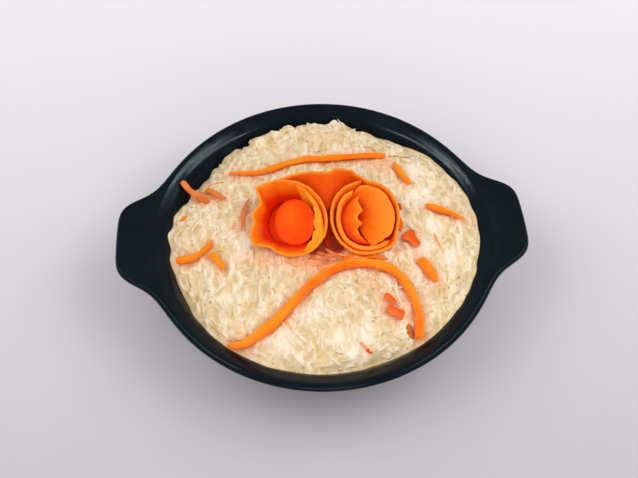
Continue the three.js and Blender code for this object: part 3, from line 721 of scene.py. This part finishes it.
def makeToppings():
    looks = {look: makeCarrotMaterial(look) for look in toppings["looks"]}
    for node, width, firstEnd, lastEnd, rise, look, points in toppings["strips"]:
        makeStrip(node, width, firstEnd, lastEnd, rise, points, looks[look])
    makeScroll(looks["peel"])
    makeLining(looks["ledge"])
    makeRose(looks["peel"])
    makePetals(looks["peel"])
    makePlug(looks["red"])
    makeFloors(looks["floor"])


makeToppings()
print("carrot toppings ready")


# The slaw: shreds dropped one by one on a height map, and a wet body that wraps them

slaw = {
    "cell": 0.5,           # height map spacing
    "sink": 1.5,           # the ground under the shreds, below the heap's surface
    "mapEdge": 80,         # half the height map's side
    "reach": 76,           # shreds are tried inside this radius
    "tries": 9000, "knots": 8, "around": 8,
    "thickness": (0.8, 1.3), "width": (1.3, 3.2), "length": (5, 15),
    "film": -0.08,         # how far the wet body stays under the blurred tops; less than 0 is over them
    "kinds": {             # name: share of all, darker and lighter colour
        "creamShreds": (0.4, (0.75, 0.52, 0.25), (0.84, 0.63, 0.38)),
        "whiteShreds": (0.34, (0.88, 0.69, 0.46), (0.95, 0.83, 0.66)),
        "greenShreds": (0.26, (0.64, 0.52, 0.16), (0.75, 0.62, 0.26)),
    },
    "dressing": (0.78, 0.55, 0.28), "milk": (0.86, 0.66, 0.41), "blush": (0.87, 0.27, 0.085),
    "pale": (0.95, 0.84, 0.67), "green": (0.66, 0.54, 0.17), "rose": (0.89, 0.65, 0.48),
    # tan: darker streaks, and also the painted shade in the hollows between shreds
    "tan": (0.55, 0.39, 0.15),
    # speck: dark specks; the second colour is the dark red of a painted shadow between and under the cups
    "speck": (0.26, 0.2, 0.06), "paintedShadow": (0.27, 0.006, 0.004),
    "bubble": (0.55, 0.42, 0.24), "bubbleLight": (0.8, 0.62, 0.38), "bubbleRimSheen": (0.95, 0.85, 0.68),
    # carrot juice stains that tint the slaw pink; where they are strongest they also paint a dark-red shadow
    # between and under the cups
    "stainsAndShadow": [  # carrot juice: x, y, radius, strength
        (-9.9, -21.5, 8, 0.7), (0, -19.5, 7, 1.15), (7, -18.5, 6, 1.15), (2.5, -12, 6, 2.2),
        (2.8, -4, 6, 2.8), (3, 6, 5, 2.5), (-20, -21, 6, 0.35), (19, -20, 8, 0.5), (-36, 8, 5, 0.5),
        (-5, -33, 5, 0.3), (21, -33, 6, 0.35), (-27.7, -17, 6, 0.5), (-35.5, -13, 5, 0.35),
        (-37.4, 5, 4, 0.6), (34, 35, 7, 0.5), (28, 38, 5, 0.45), (-9, -23, 9, 0.55), (35, -18, 4, 0.4),
        (1, -8, 8, 2.8), (5, -12, 6, 2.6), (1.8, -13.5, 6, 1.7), (8, -16.5, 4, 1.1), (-5.5, -17.4, 5, 1),
        (-5.7, -30.7, 5, 0.35), (-5.5, -14.5, 3.6, 1.7), (-1, -13.6, 4.5, 2.4), (4.6, -15.2, 3.6, 2)],
    "peaks": [  # tips at the far edge: x, y, radius, height
        (-13, 67.6, 2.8, 6.2), (-30.5, 61, 3, 3.8), (-22, 64.8, 3, 4.4), (11.5, 69.2, 3, 6.2),
        (-3, 68.4, 5, 2.6), (15, 67, 3, 1.6), (43, 50, 3.4, 2.2), (51, 42, 3, 2), (-40, 52, 2.6, 1.6)],
    "tufts": 110, "bubbles": 110,
    "sides": 560, "foot": (50, 4.5),  # points round the wet body; radius and height of its foot
    "lumps": ((-21.9, -60, 5.5), (-8.5, -48, 4), (8.8, -66.5, 4), (50, 33, 5), (15.5, -57.5, 4.5),
        (-38, -8, 4.5), (-46, -36, 4), (48, -14, 5), (33, -57, 3.5), (49, 16, 6), (54, -3, 5),
        (60, -21, 5), (3, -60, 4)),  # pale: x, y, radius
    "bits": [  # small shreds of carrot: look, width, thickness, plan points
        ("pink", 1.1, 0.8, [(53.6, -7.4), (54.6, -12.5), (57.4, -19.1)]),
        ("red", 1.8, 0.9, [(14.9, -65.1), (17.5, -66.7)]),
        ("red", 1.7, 0.8, [(14.3, -71.4), (19, -71.2), (24, -70)]),
        ("pink", 0.8, 0.6, [(33.8, -17.9), (34, -21.5), (34.7, -25.5)]),
        ("rust", 1.6, 0.9, [(38.8, 11), (39.3, 6.7)]),
        ("pink", 2.6, 0.9, [(-59.6, 20.1), (-55.5, 22.6), (-51.4, 23.7)]),
        ("pink", 2.2, 0.9, [(-43.6, 1.1), (-41, 5.2), (-39.9, 8.5)]),
        ("pink", 1.8, 0.8, [(-21.1, -49.3), (-17.8, -54.5)]),
        ("orange", 1.9, 0.8, [(-70, 12.9), (-66.2, 14.7)]),
        ("pink", 0.8, 0.6, [(-55.5, -46.3), (-51, -51), (-47.8, -54.6)]),
        ("pink", 1.3, 0.8, [(24.7, 51.4), (27.8, 50.6), (30.6, 48)]),
        ("rust", 0.9, 0.6, [(38, 43.7), (43, 44.3), (49, 43.7)]),
        ("rust", 3.4, 1.3, [(35.3, -53.5), (35.6, -57.2), (37, -60.6)]),
        # deep: a dark strip of painted shade under the bridge between the cups, in the cup floors' colour
        ("deep", 4.6, 1.1, [(3.6, 10), (3.3, 4.8), (2.7, -1), (2.2, -7), (1.6, -12)]),
        ("brick", 2.2, 0.8, [(-3.6, -15.2), (1, -16.8), (6, -17.6)]),
        ("brick", 1.8, 0.8, [(0.6, -13), (3.4, -15.8), (9.4, -18.6)]),
        ("brick", 1.6, 0.8, [(-8, -18.6), (-3, -19.2), (2, -19.6)]),
        ("brick", 1.4, 0.8, [(3, -20.6), (8, -19.6), (12, -18.4)]),
        ("pink", 2.4, 0.9, [(-13.5, -19.8), (-8.5, -21.6), (-3, -22)]),
        ("pink", 2.6, 0.9, [(-4, -24.6), (2, -23.2), (8, -21.6)]),
        ("pink", 1.8, 0.8, [(6, -16.6), (12, -19.6), (17, -20.2)]),
        ("pink", 2, 0.8, [(-20, -19.8), (-15.5, -21.2), (-12, -23.6)]),
        ("orange", 2.4, 0.9, [(37.6, 2.4), (38.3, -1.6), (37.7, -5.4)]),
        ("orange", 0.8, 0.6, [(-53.2, -3.2), (-54.6, -7), (-56.6, -9)]),
        ("orange", 0.9, 0.7, [(-55.9, 35.3), (-51, 35.4), (-47.4, 34.3)]),
        ("orange", 0.8, 0.6, [(-50.9, 21.9), (-46.3, 22.2)]),
        ("pink", 1.2, 0.8, [(12.3, -62.3), (17, -66.3)]),
        ("orange", 3.2, 1.1, [(7.5, -20.6), (14, -19.3), (22, -19.4), (29, -21.6)]),
    ],
}


# True on the ground that a topping covers.
def footprintMask(x, y):
    covered = np.zeros(x.shape, bool)
    for _, width, _, _, _, _, points in toppings["strips"]:
        for px, py in evenPath(points, 60)[0]:
            covered |= (x - px) ** 2 + (y - py) ** 2 < (width / 2 + 0.3) ** 2
    for cx, cy, rx, ry in (toppings["leftCup"], toppings["rightCup"]):
        covered |= ((x - cx) / (rx * 0.8)) ** 2 + ((y - cy) / (ry * 0.8)) ** 2 < 1
    covered |= (np.abs(x - 2.7) < 17) & (y > 4) & (y < 22)
    return covered


# A soft average: three box means along each axis.
def blur(field, radius):
    size = 2 * radius + 1
    for _ in range(3):
        for axis in (0, 1):
            edges = [(radius + 1, radius) if a == axis else (0, 0) for a in (0, 1)]
            total = np.cumsum(np.pad(field, edges, mode="edge"), axis)
            field = (np.take(total, np.arange(size, total.shape[axis]), axis)
                     - np.take(total, np.arange(0, total.shape[axis] - size), axis)) / size
    return field


# The height map between its cells, mixed from the four nearest.
def sampleMap(field, axis, x, y):
    u = np.clip((x - axis[0]) / slaw["cell"], 0, len(axis) - 1.001)
    v = np.clip((y - axis[0]) / slaw["cell"], 0, len(axis) - 1.001)
    i, j = u.astype(int), v.astype(int)
    a, b = u - i, v - j
    return (field[i, j] * (1 - a) * (1 - b) + field[i + 1, j] * a * (1 - b)
            + field[i, j + 1] * (1 - a) * b + field[i + 1, j + 1] * a * b)


# The sum or the maximum of round bells on the map: each spot is x, y, radius, height.
def addBells(combine, field, spots, gx, gy):
    for x, y, size, height in spots:
        field = combine(field, height * np.exp(-((gx - x) ** 2 + (gy - y) ** 2) / size ** 2))
    return field


# Seeded bent paths are laid on the height map one after another, each over what lies there already. A path
# that would stick out over the cap is dropped.
def dropShreds():
    cell, edge = slaw["cell"], slaw["mapEdge"]
    axis = np.arange(-edge, edge + cell, cell)
    gx, gy = np.meshgrid(axis, axis, indexing="ij")
    ground = addBells(np.add, heapHeight(gx, gy), slaw["peaks"], gx, gy)
    covered = footprintMask(gx, gy)
    height = ground - slaw["sink"]
    cap = ground + 0.6 + 0.8 * ripple(gx, gy, 5, 5.5) + 0.5 * ripple(gx, gy, 6, 2.8)
    cap = np.where(covered, ground - 0.1, cap)
    count, knots = slaw["tries"], slaw["knots"]
    radius = slaw["reach"] * np.sqrt(rng.random(count))
    angle = rng.uniform(0, 2 * math.pi, count)
    x0, y0 = radius * np.cos(angle), radius * np.sin(angle)
    lengths = rng.uniform(*slaw["length"], count) * np.linspace(1.15, 0.7, count)
    widths = rng.uniform(*slaw["width"], count) * np.linspace(1.15, 0.8, count)
    thicks = rng.uniform(*slaw["thickness"], count)
    flow = math.pi / 2 + 1.1 * ripple(x0, y0, 9, 9.0) + rng.normal(0, 0.6, count)
    bend, wiggle = rng.normal(0, 1.1, count), rng.normal(0, 0.4, count)
    s = np.linspace(-0.5, 0.5, knots)
    heading = flow[:, None] + bend[:, None] * s + wiggle[:, None] * np.sin(s * 9)[None]
    step = lengths[:, None] / (knots - 1)
    xs, ys = np.cumsum(np.cos(heading) * step, 1), np.cumsum(np.sin(heading) * step, 1)
    xs += x0[:, None] - xs.mean(1)[:, None]
    ys += y0[:, None] - ys.mean(1)[:, None]
    limit = contactRadius(angleOf(xs, ys)) - widths[:, None] / 2 - 0.3
    inside = (np.hypot(xs, ys) < limit).all(1)
    zs = np.zeros_like(xs)
    kept = np.zeros(count, bool)
    reach = int(math.ceil(slaw["width"][1] / 2 / cell)) + 1
    ox, oy = (offset.ravel() for offset in np.mgrid[-reach:reach + 1, -reach:reach + 1])
    off = np.hypot(ox, oy) * cell
    fine = np.linspace(0, knots - 1, knots * 4)
    for n in np.flatnonzero(inside):
        i, j = (np.rint((line[n] + edge) / cell).astype(int) for line in (xs, ys))
        z = height[i, j]
        z = 0.4 * z + 0.6 * np.polyval(np.polyfit(s, z, 2), s) + 0.1 * thicks[n]
        if (z + thicks[n] > cap[i, j]).any():
            continue
        kept[n] = True
        zs[n] = z + thicks[n] / 2
        fx, fy, fz = (np.interp(fine, np.arange(knots), line)[:, None] for line in (xs[n], ys[n], z))
        near = off < widths[n] / 2
        i, j = (np.rint((line + edge) / cell).astype(int) + o[near] for line, o in ((fx, ox), (fy, oy)))
        np.maximum.at(height, (i, j), fz + thicks[n] * np.sqrt(1 - (off[near] / (widths[n] / 2)) ** 2))
    print("shreds kept", int(kept.sum()))
    nearToppings = np.clip(blur(covered.astype(float), 5) * 0.9, 0, 0.7)
    blush = addBells(np.maximum, nearToppings, slaw["stainsAndShadow"], gx, gy)
    lumps = [(*lump, 1) for lump in slaw["lumps"]]
    return {"x": xs[kept], "y": ys[kept], "z": zs[kept], "width": widths[kept], "thick": thicks[kept],
            "height": height, "ground": ground, "axis": axis, "covered": covered, "blush": blush.clip(0, 1),
            # Painted shadow: where the stains are strongest, a dark-red shadow between and under the cups.
            "paintedShadow": (np.clip(blush - 0.85, 0, 1) * 1.6).clip(0, 1),
            "pale": addBells(np.maximum, np.zeros_like(ground), lumps, gx, gy),
            # Painted shade in the hollows between shreds: how far each cell lies below its blurred
            # surroundings.
            "hollowShade": np.clip((blur(height, 4) - height) * 1.1, 0, 1)}


# Wet cabbage or dressing. The vertex value "tone" mixes the two colours, "blush" tints towards carrot juice,
# one value towards a painted dark-red shadow between and under the cups, "pale" towards white, and one
# towards tan as painted shade in hollows.
def makeCreamMaterial(name, darker, lighter, roughness, strokes, coat=0.0):
    material, tree, shader = newMaterial(
        name, Roughness=roughness, IOR=1.36, Specular_IOR_Level=0.2, Coat_Weight=coat, Coat_Roughness=0.15,
        Subsurface_Weight=0.5, Subsurface_Scale=0.0009, Subsurface_Radius=(1.0, 0.85, 0.7))
    colour = tintByValues(tree, darker, (("tone", lighter, 1.0),))
    for other, scale, amount in (("milk", 150.0, 0.35), ("green", 80.0, 0.5), ("rose", 78.0, 0.55)):
        colour = addMottle(tree, colour, slaw[other], scale, amount)["Colour"]
    for other, scale, low, amount in (("tan", 380.0, 0.5, 0.35), ("pale", 330.0, 0.46, 0.7)):
        inputs = {"Scale": scale, "Low": low, "High": low + 0.14}
        mask = addNode(tree, "Group", inputs, node_tree=strokesGroup).outputs["Mask"]
        colour = addMix(tree, addProduct(tree, mask, amount * strokes), colour, slaw[other])
    specks = addRange(tree, addNoise(tree, 420.0, 1.0), 0.67, 0.74, 0.0, 0.6)
    colour = addMix(tree, specks, colour, slaw["speck"])
    tints = (("hollowShade", "tan", 0.6), ("blush", "blush", 0.85), ("paintedShadow", "paintedShadow", 0.9), ("pale", "pale", 0.8))
    colour = tintByValues(tree, colour, [(label, slaw[other], strength) for label, other, strength in tints])
    finishShader(tree, shader, colour, 450.0, 1700.0, 0.4, 0.4, 0.0003)
    return material


# Flat rounded strands along given centre lines (pieces, along, 3).
def strandRings(centre, width, thick, roll, around=8):
    forward = unit(np.gradient(centre, axis=1))
    flat = np.stack([-forward[..., 1], forward[..., 0], np.zeros(forward.shape[:2])], -1)
    flat /= np.maximum(np.linalg.norm(flat, axis=2), 1e-9)[..., None]
    upward = np.cross(forward, flat)
    cosine, sine = np.cos(roll)[..., None], np.sin(roll)[..., None]
    sideways, upward = flat * cosine + upward * sine, -flat * sine + upward * cosine
    turn = (fullTurn(around) + 0.2)[None, None, :, None]
    across = sideways[:, :, None] * np.cos(turn) * (width / 2)[..., None, None]
    rings = centre[:, :, None] + across + upward[:, :, None] * np.sin(turn) * (thick / 2)[..., None, None]
    return rings, centre[:, [0, -1]] + forward[:, [0, -1]] * [[-0.25], [0.25]]


# The maps' values at every ring point and end point of a group of strands.
def creamTones(pile, rings, ends):
    x, y = np.moveaxis(np.concatenate([rings.reshape(len(rings), -1, 3), ends], 1)[..., :2], -1, 0)
    labels = "blush", "paintedShadow", "pale", "hollowShade"
    return {label: sampleMap(pile[label], pile["axis"], x, y) for label in labels}


# The dropped shreds, in one piece per colour.
def makeShreds(pile):
    count, knots = pile["x"].shape
    s = np.linspace(0, 1, knots)
    centre = raised(pile["x"], pile["y"], pile["z"])
    taper = 1 - 0.35 * np.abs(2 * s - 1) ** 4
    width, thick = pile["width"][:, None] * taper[None], pile["thick"][:, None] * taper[None]
    roll = rng.normal(0, 0.25, count)[:, None] + rng.normal(0, 0.7, count)[:, None] * (s - 0.5)
    rings, ends = strandRings(centre, width, thick, roll, slaw["around"])
    draw = rng.random(count) + 0.15 * ripple(pile["x"][:, 3], pile["y"][:, 3], 12, 7.0)
    bounds = np.cumsum([kind[0] for kind in slaw["kinds"].values()])[:-1]
    chosenKind = np.searchsorted(bounds, draw, side="right")
    for n, (name, (_, darker, lighter)) in enumerate(slaw["kinds"].items()):
        chosen = chosenKind == n
        tones = {"tone": rng.random(int(chosen.sum())), **creamTones(pile, rings[chosen], ends[chosen])}
        material = makeCreamMaterial(name + "Look", darker, lighter, 0.45, 0.7)
        piece = ringPieces(name, rings[chosen], ends[chosen], material, tones)
        print(name, int(chosen.sum()))


# Short strands that stand up out of the heap, most of them along the far crest.
def makeTufts(pile):
    count, knots = slaw["tufts"], 7
    crest = np.arange(count) < count * 0.6
    x = np.where(crest, rng.normal(-6, 30, count), rng.uniform(-62, 62, count))
    y = np.where(crest, rng.normal(62, 7, count), rng.uniform(-60, 60, count))
    keep = np.hypot(x, y) < contactRadius(angleOf(x, y)) - 6
    keep &= ~footprintMask(x, y)
    x, y = x[keep], y[keep]
    count = len(x)
    s = np.linspace(0, 1, knots)
    heading = rng.uniform(0, 2 * math.pi, count)
    step = (rng.uniform(4.5, 9, count) / knots)[:, None]
    turn = heading[:, None] + rng.normal(0, 0.5, count)[:, None] * s
    px, py = x[:, None] + np.cumsum(np.cos(turn), 1) * step, y[:, None] + np.cumsum(np.sin(turn), 1) * step
    near = np.minimum(1, (contactRadius(angleOf(px, py)) - 1.5) / np.hypot(px, py))
    px, py = px * near, py * near
    top = sampleMap(pile["height"], pile["axis"], px, py)
    rise = rng.uniform(0.5, 1.6, count) * np.where(y > 52, 1.5, 1.0)
    centre = raised(px, py, top - 0.4 + rise[:, None] * s ** 1.2)
    taper = 1 - 0.8 * s ** 1.5
    width, thick = (rng.uniform(*span, count)[:, None] * taper for span in ((1.5, 2.8), (0.6, 0.9)))
    rings, ends = strandRings(centre, width, thick, rng.normal(0, 0.5, count)[:, None] + 0 * s)
    tones = {"tone": rng.random(count), **creamTones(pile, rings, ends)}
    material = makeCreamMaterial("tuftLook", *slaw["kinds"]["whiteShreds"][1:], 0.45, 0.3)
    piece = ringPieces("standingShreds", rings, ends, material, tones)


# The small shreds of carrot, half sunk in the slaw, one piece per colour. The deep one is a dark strip of
# painted shade under the bridge between the cups, in the cup floors' colour.
def makeBits(pile):
    ground = blur(pile["height"], 1)
    s = np.linspace(0, 1, 9)
    for look in ("orange", "red", "pink", "rust", "brick", "deep"):
        material = bpy.data.materials["carrotFloor" if look == "deep" else "carrot" + look.capitalize()]
        sizes, centre = [], []
        for _, width, thick, points in (bit for bit in slaw["bits"] if bit[0] == look):
            path = evenPath(points, len(s))[0]
            top = sampleMap(ground, pile["axis"], *path.T)
            centre.append(raised(*path.T, top + 0.2 + 0.12 * np.sin(s * 8)))
            sizes.append((width, thick))
        width, thick = np.array(sizes).T[..., None] * (1 - 0.6 * np.abs(2 * s - 1) ** 3)
        rings, ends = strandRings(np.array(centre), width, thick, 0.3 * np.sin(s * 5) + 0 * width)
        piece = ringPieces(look + "Bits", rings, ends, material)


# The wet body: its top is the blurred height map, lifted to a smooth film near the wall. From its foot it
# goes up along the wall, over the edge and in to the middle. The far left edge is dry and ragged.
def makeBody(pile):
    axis, gap = pile["axis"], heapForm["wallGap"]
    gx, gy = np.meshgrid(axis, axis, indexing="ij")
    near = np.clip(1 - (contactRadius(angleOf(gx, gy)) - np.hypot(gx, gy)) / 4, 0, 1)
    wet = np.maximum(blur(pile["height"], 1), blur(pile["height"], 3))
    wet += -slaw["film"] + 0.22 * ripple(gx, gy, 21, 2.2) + 0.16 * ripple(gx, gy, 22, 1.1) + 0.3 * near
    wet = np.where(pile["covered"], np.minimum(wet, pile["ground"] + 0.1), wet)
    angle = fullTurn(slaw["sides"])
    across, along = np.cos(angle), np.sin(angle)
    dry = np.exp(-((np.degrees(angle) - 130) / 55) ** 4)
    ragged = (0.5 + 1.2 * dry) * (ripple(70 * across, 70 * along, 41, 2.0) - 0.3)
    contact = contactHeight(np.degrees(angle)) + ragged
    shares = np.linspace(1, 0, 160)[:-1, None]
    radius = shares * (wallRadius(contact) - gap + 0.3)
    x, y = radius * across, radius * along
    calm = np.clip((1 - shares) / 0.035, 0, 1)
    top = raised(x, y, contact * (1 - calm) + sampleMap(wet, axis, x, y) * calm)
    climb = np.linspace(0, 1, 12)[:-1, None]
    low = heapForm["wallHeights"][0] + gap
    wallZ = low + climb * (contact - low)
    wallR = wallRadius(wallZ) - gap + 0.3 * climb
    side = raised(wallR * across, wallR * along, wallZ)
    footRadius, footHeight = slaw["foot"]
    foot = np.stack([footRadius * across, footRadius * along, np.full(len(angle), footHeight)], -1)[None]
    rings = np.concatenate([foot, side, top])[None]
    ends = np.array([[[0, 0, footHeight], [0, 0, rings[0, -1, :, 2].mean()]]])
    x, y, _ = np.moveaxis(np.concatenate([rings.reshape(1, -1, 3), ends], 1), -1, 0)
    tones = {"tone": 0.5 + 0.5 * ripple(x, y, 31, 3.0), **creamTones(pile, rings, ends)}
    material = makeCreamMaterial("dressing", slaw["dressing"], slaw["milk"], 0.35, 1.0, 0.08)
    body = ringPieces("slawBody", rings, ends, material, tones)
    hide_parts("slaw")
    return wet


# Bubbles in the film near the wall: low domes, half sunk, most of them at the right and near edges.
def makeBubbles(pile, wet):
    count = slaw["bubbles"]
    angle = rng.choice([-1.25, 0.15, 1.1, -0.5, 3.6], count, p=[0.3, 0.25, 0.15, 0.2, 0.1])
    angle = angle + rng.normal(0, 0.3, count)
    radius = contactRadius(np.degrees(angle)) - 1.2 - np.abs(rng.normal(0, 4.0, count))
    x, y = radius * np.cos(angle), radius * np.sin(angle)
    size = rng.uniform(0.22, 0.62, count)[:, None]
    lift = (np.linspace(-0.5, 0.5, 7) * math.pi)[1:-1, None]
    turn = fullTurn(10)
    dome = np.stack([np.cos(lift) * np.cos(turn), np.cos(lift) * np.sin(turn), np.sin(lift) + 0 * turn], -1)
    centre = raised(x, y, sampleMap(wet, pile["axis"], x, y))
    rings = centre[:, None, None] + dome[None] * size[..., None, None]
    ends = np.stack([centre - [0, 0, 1] * size, centre + [0, 0, 1] * size], 1)
    material, tree, shader = newMaterial("bubbleFilm", Roughness=0.1, IOR=1.36)
    # Painted sheen: each dome turns lighter towards its rim, where it is seen at a grazing angle.
    facing = addNode(tree, "LayerWeight", {"Blend": 0.35}).outputs["Facing"]
    mottle = addMottle(tree, slaw["bubble"], slaw["bubbleLight"], 700.0)["Colour"]
    setInputs(tree, shader, {"Base Color": addMix(tree, facing, mottle, slaw["bubbleRimSheen"])})
    piece = ringPieces("bubbles", rings, ends, material)


def makeSlaw():
    pile = dropShreds()
    makeShreds(pile)
    makeTufts(pile)
    makeBits(pile)
    makeBubbles(pile, makeBody(pile))


makeSlaw()
print("slaw ready")


# Floor, light and camera

studio = {
    "far": (0.91, 0.877, 0.905), "near": (0.49, 0.466, 0.49),  # the floor behind and before the dish
    "fade": (-0.16, 0.26),  # where they meet, in metres
    "grain": (0.72, 0.7, 0.72), "floorReach": 2.5,
    "world": 0.545, "worldTint": (1, 0.98, 1),
    # place, width, depth, watts and use. The narrow pair draws the streaks on the wall, and the broad pair in
    # the same places lights everything softly
    "softboxes": [
        ((-520, -30, 680), 700, 80, 2.6, "shine"), ((520, -30, 680), 700, 80, 3.1, "shine"),
        ((-520, -30, 680), 700, 520, 2.6, "light"), ((520, -30, 680), 700, 520, 3.1, "light"),
        ((0, -750, 330), 400, 300, 1.2, "both")],
}
view = {
    "elevation": 55.12, "distance": 433.5, "turn": 4.518, "roll": 0.362, "aim": (-1.502, -5.457),
    "lens": 50.50, "sensor": 36.0,
}


def makeFloor():
    reach = studio["floorReach"]
    mesh = bpy.data.meshes.new("floor")
    mesh.from_pydata([(x, y, 0) for x in (-reach, reach) for y in (-reach, reach)], [], [(0, 2, 3, 1)])
    material, tree, shader = newMaterial("paleFloor", Roughness=0.8, Specular_IOR_Level=0.2)
    place = addNode(tree, "TexCoord").outputs["Object"]
    depth = addNode(tree, "SeparateXYZ", {"Vector": place}).outputs["Y"]
    tone = addMix(tree, addRange(tree, depth, *studio["fade"]), studio["near"], studio["far"])
    mottle = addMottle(tree, tone, studio["grain"], 30.0, 0.03)
    setInputs(tree, shader, {"Base Color": mottle["Colour"]})
    mesh.materials.append(material)
    floor = bpy.data.objects.new("floor", mesh)
    bpy.context.scene.collection.objects.link(floor)


def makeLights():
    target = Vector((0, 0, 0.03))
    for n, (place, width, depth, watts, use) in enumerate(studio["softboxes"]):
        light = bpy.data.lights.new(f"softbox{n}", "AREA")
        light.shape = "RECTANGLE"
        light.size = width * mm
        light.size_y = depth * mm
        light.energy = watts
        lamp = bpy.data.objects.new(f"softbox{n}", light)
        lamp.location = Vector(place) * mm
        lamp.visible_diffuse = use != "shine"
        lamp.visible_glossy = use != "light"
        lamp.rotation_euler = (target - lamp.location).to_track_quat("-Z", "Y").to_euler()
        bpy.context.scene.collection.objects.link(lamp)
    world = bpy.data.worlds.new("studio")
    world.use_nodes = True
    background = world.node_tree.nodes["Background"]
    setInputs(world.node_tree, background, {"Color": studio["worldTint"], "Strength": studio["world"]})
    bpy.context.scene.world = world


# The camera that took the photo: it looks down on a point at the rim's height, turned about Z and rolled.
def makeCamera():
    rise, turn, roll = (view[label] * degree for label in ("elevation", "turn", "roll"))
    spin = Matrix.Rotation(-turn, 3, "Z")
    axes = spin @ Matrix.Rotation(math.pi / 2 - rise, 3, "X") @ Matrix.Rotation(roll, 3, "Z")
    aim = spin @ Vector((*view["aim"], 0)) + Vector((0, 0, heapForm["rimHeight"]))
    camera = bpy.data.cameras.new("photoCamera")
    camera.lens = view["lens"]
    camera.sensor_width = view["sensor"]
    camera.sensor_fit = "HORIZONTAL"
    camera.clip_start = 0.01
    holder = bpy.data.objects.new("photoCamera", camera)
    place = (aim + axes.col[2] * view["distance"]) * mm
    holder.matrix_world = Matrix.Translation(place) @ axes.to_4x4()
    bpy.context.scene.collection.objects.link(holder)
    bpy.context.scene.camera = holder


makeFloor()
makeLights()
makeCamera()
bpy.context.scene.view_settings.view_transform = "Standard"
print("studio ready")
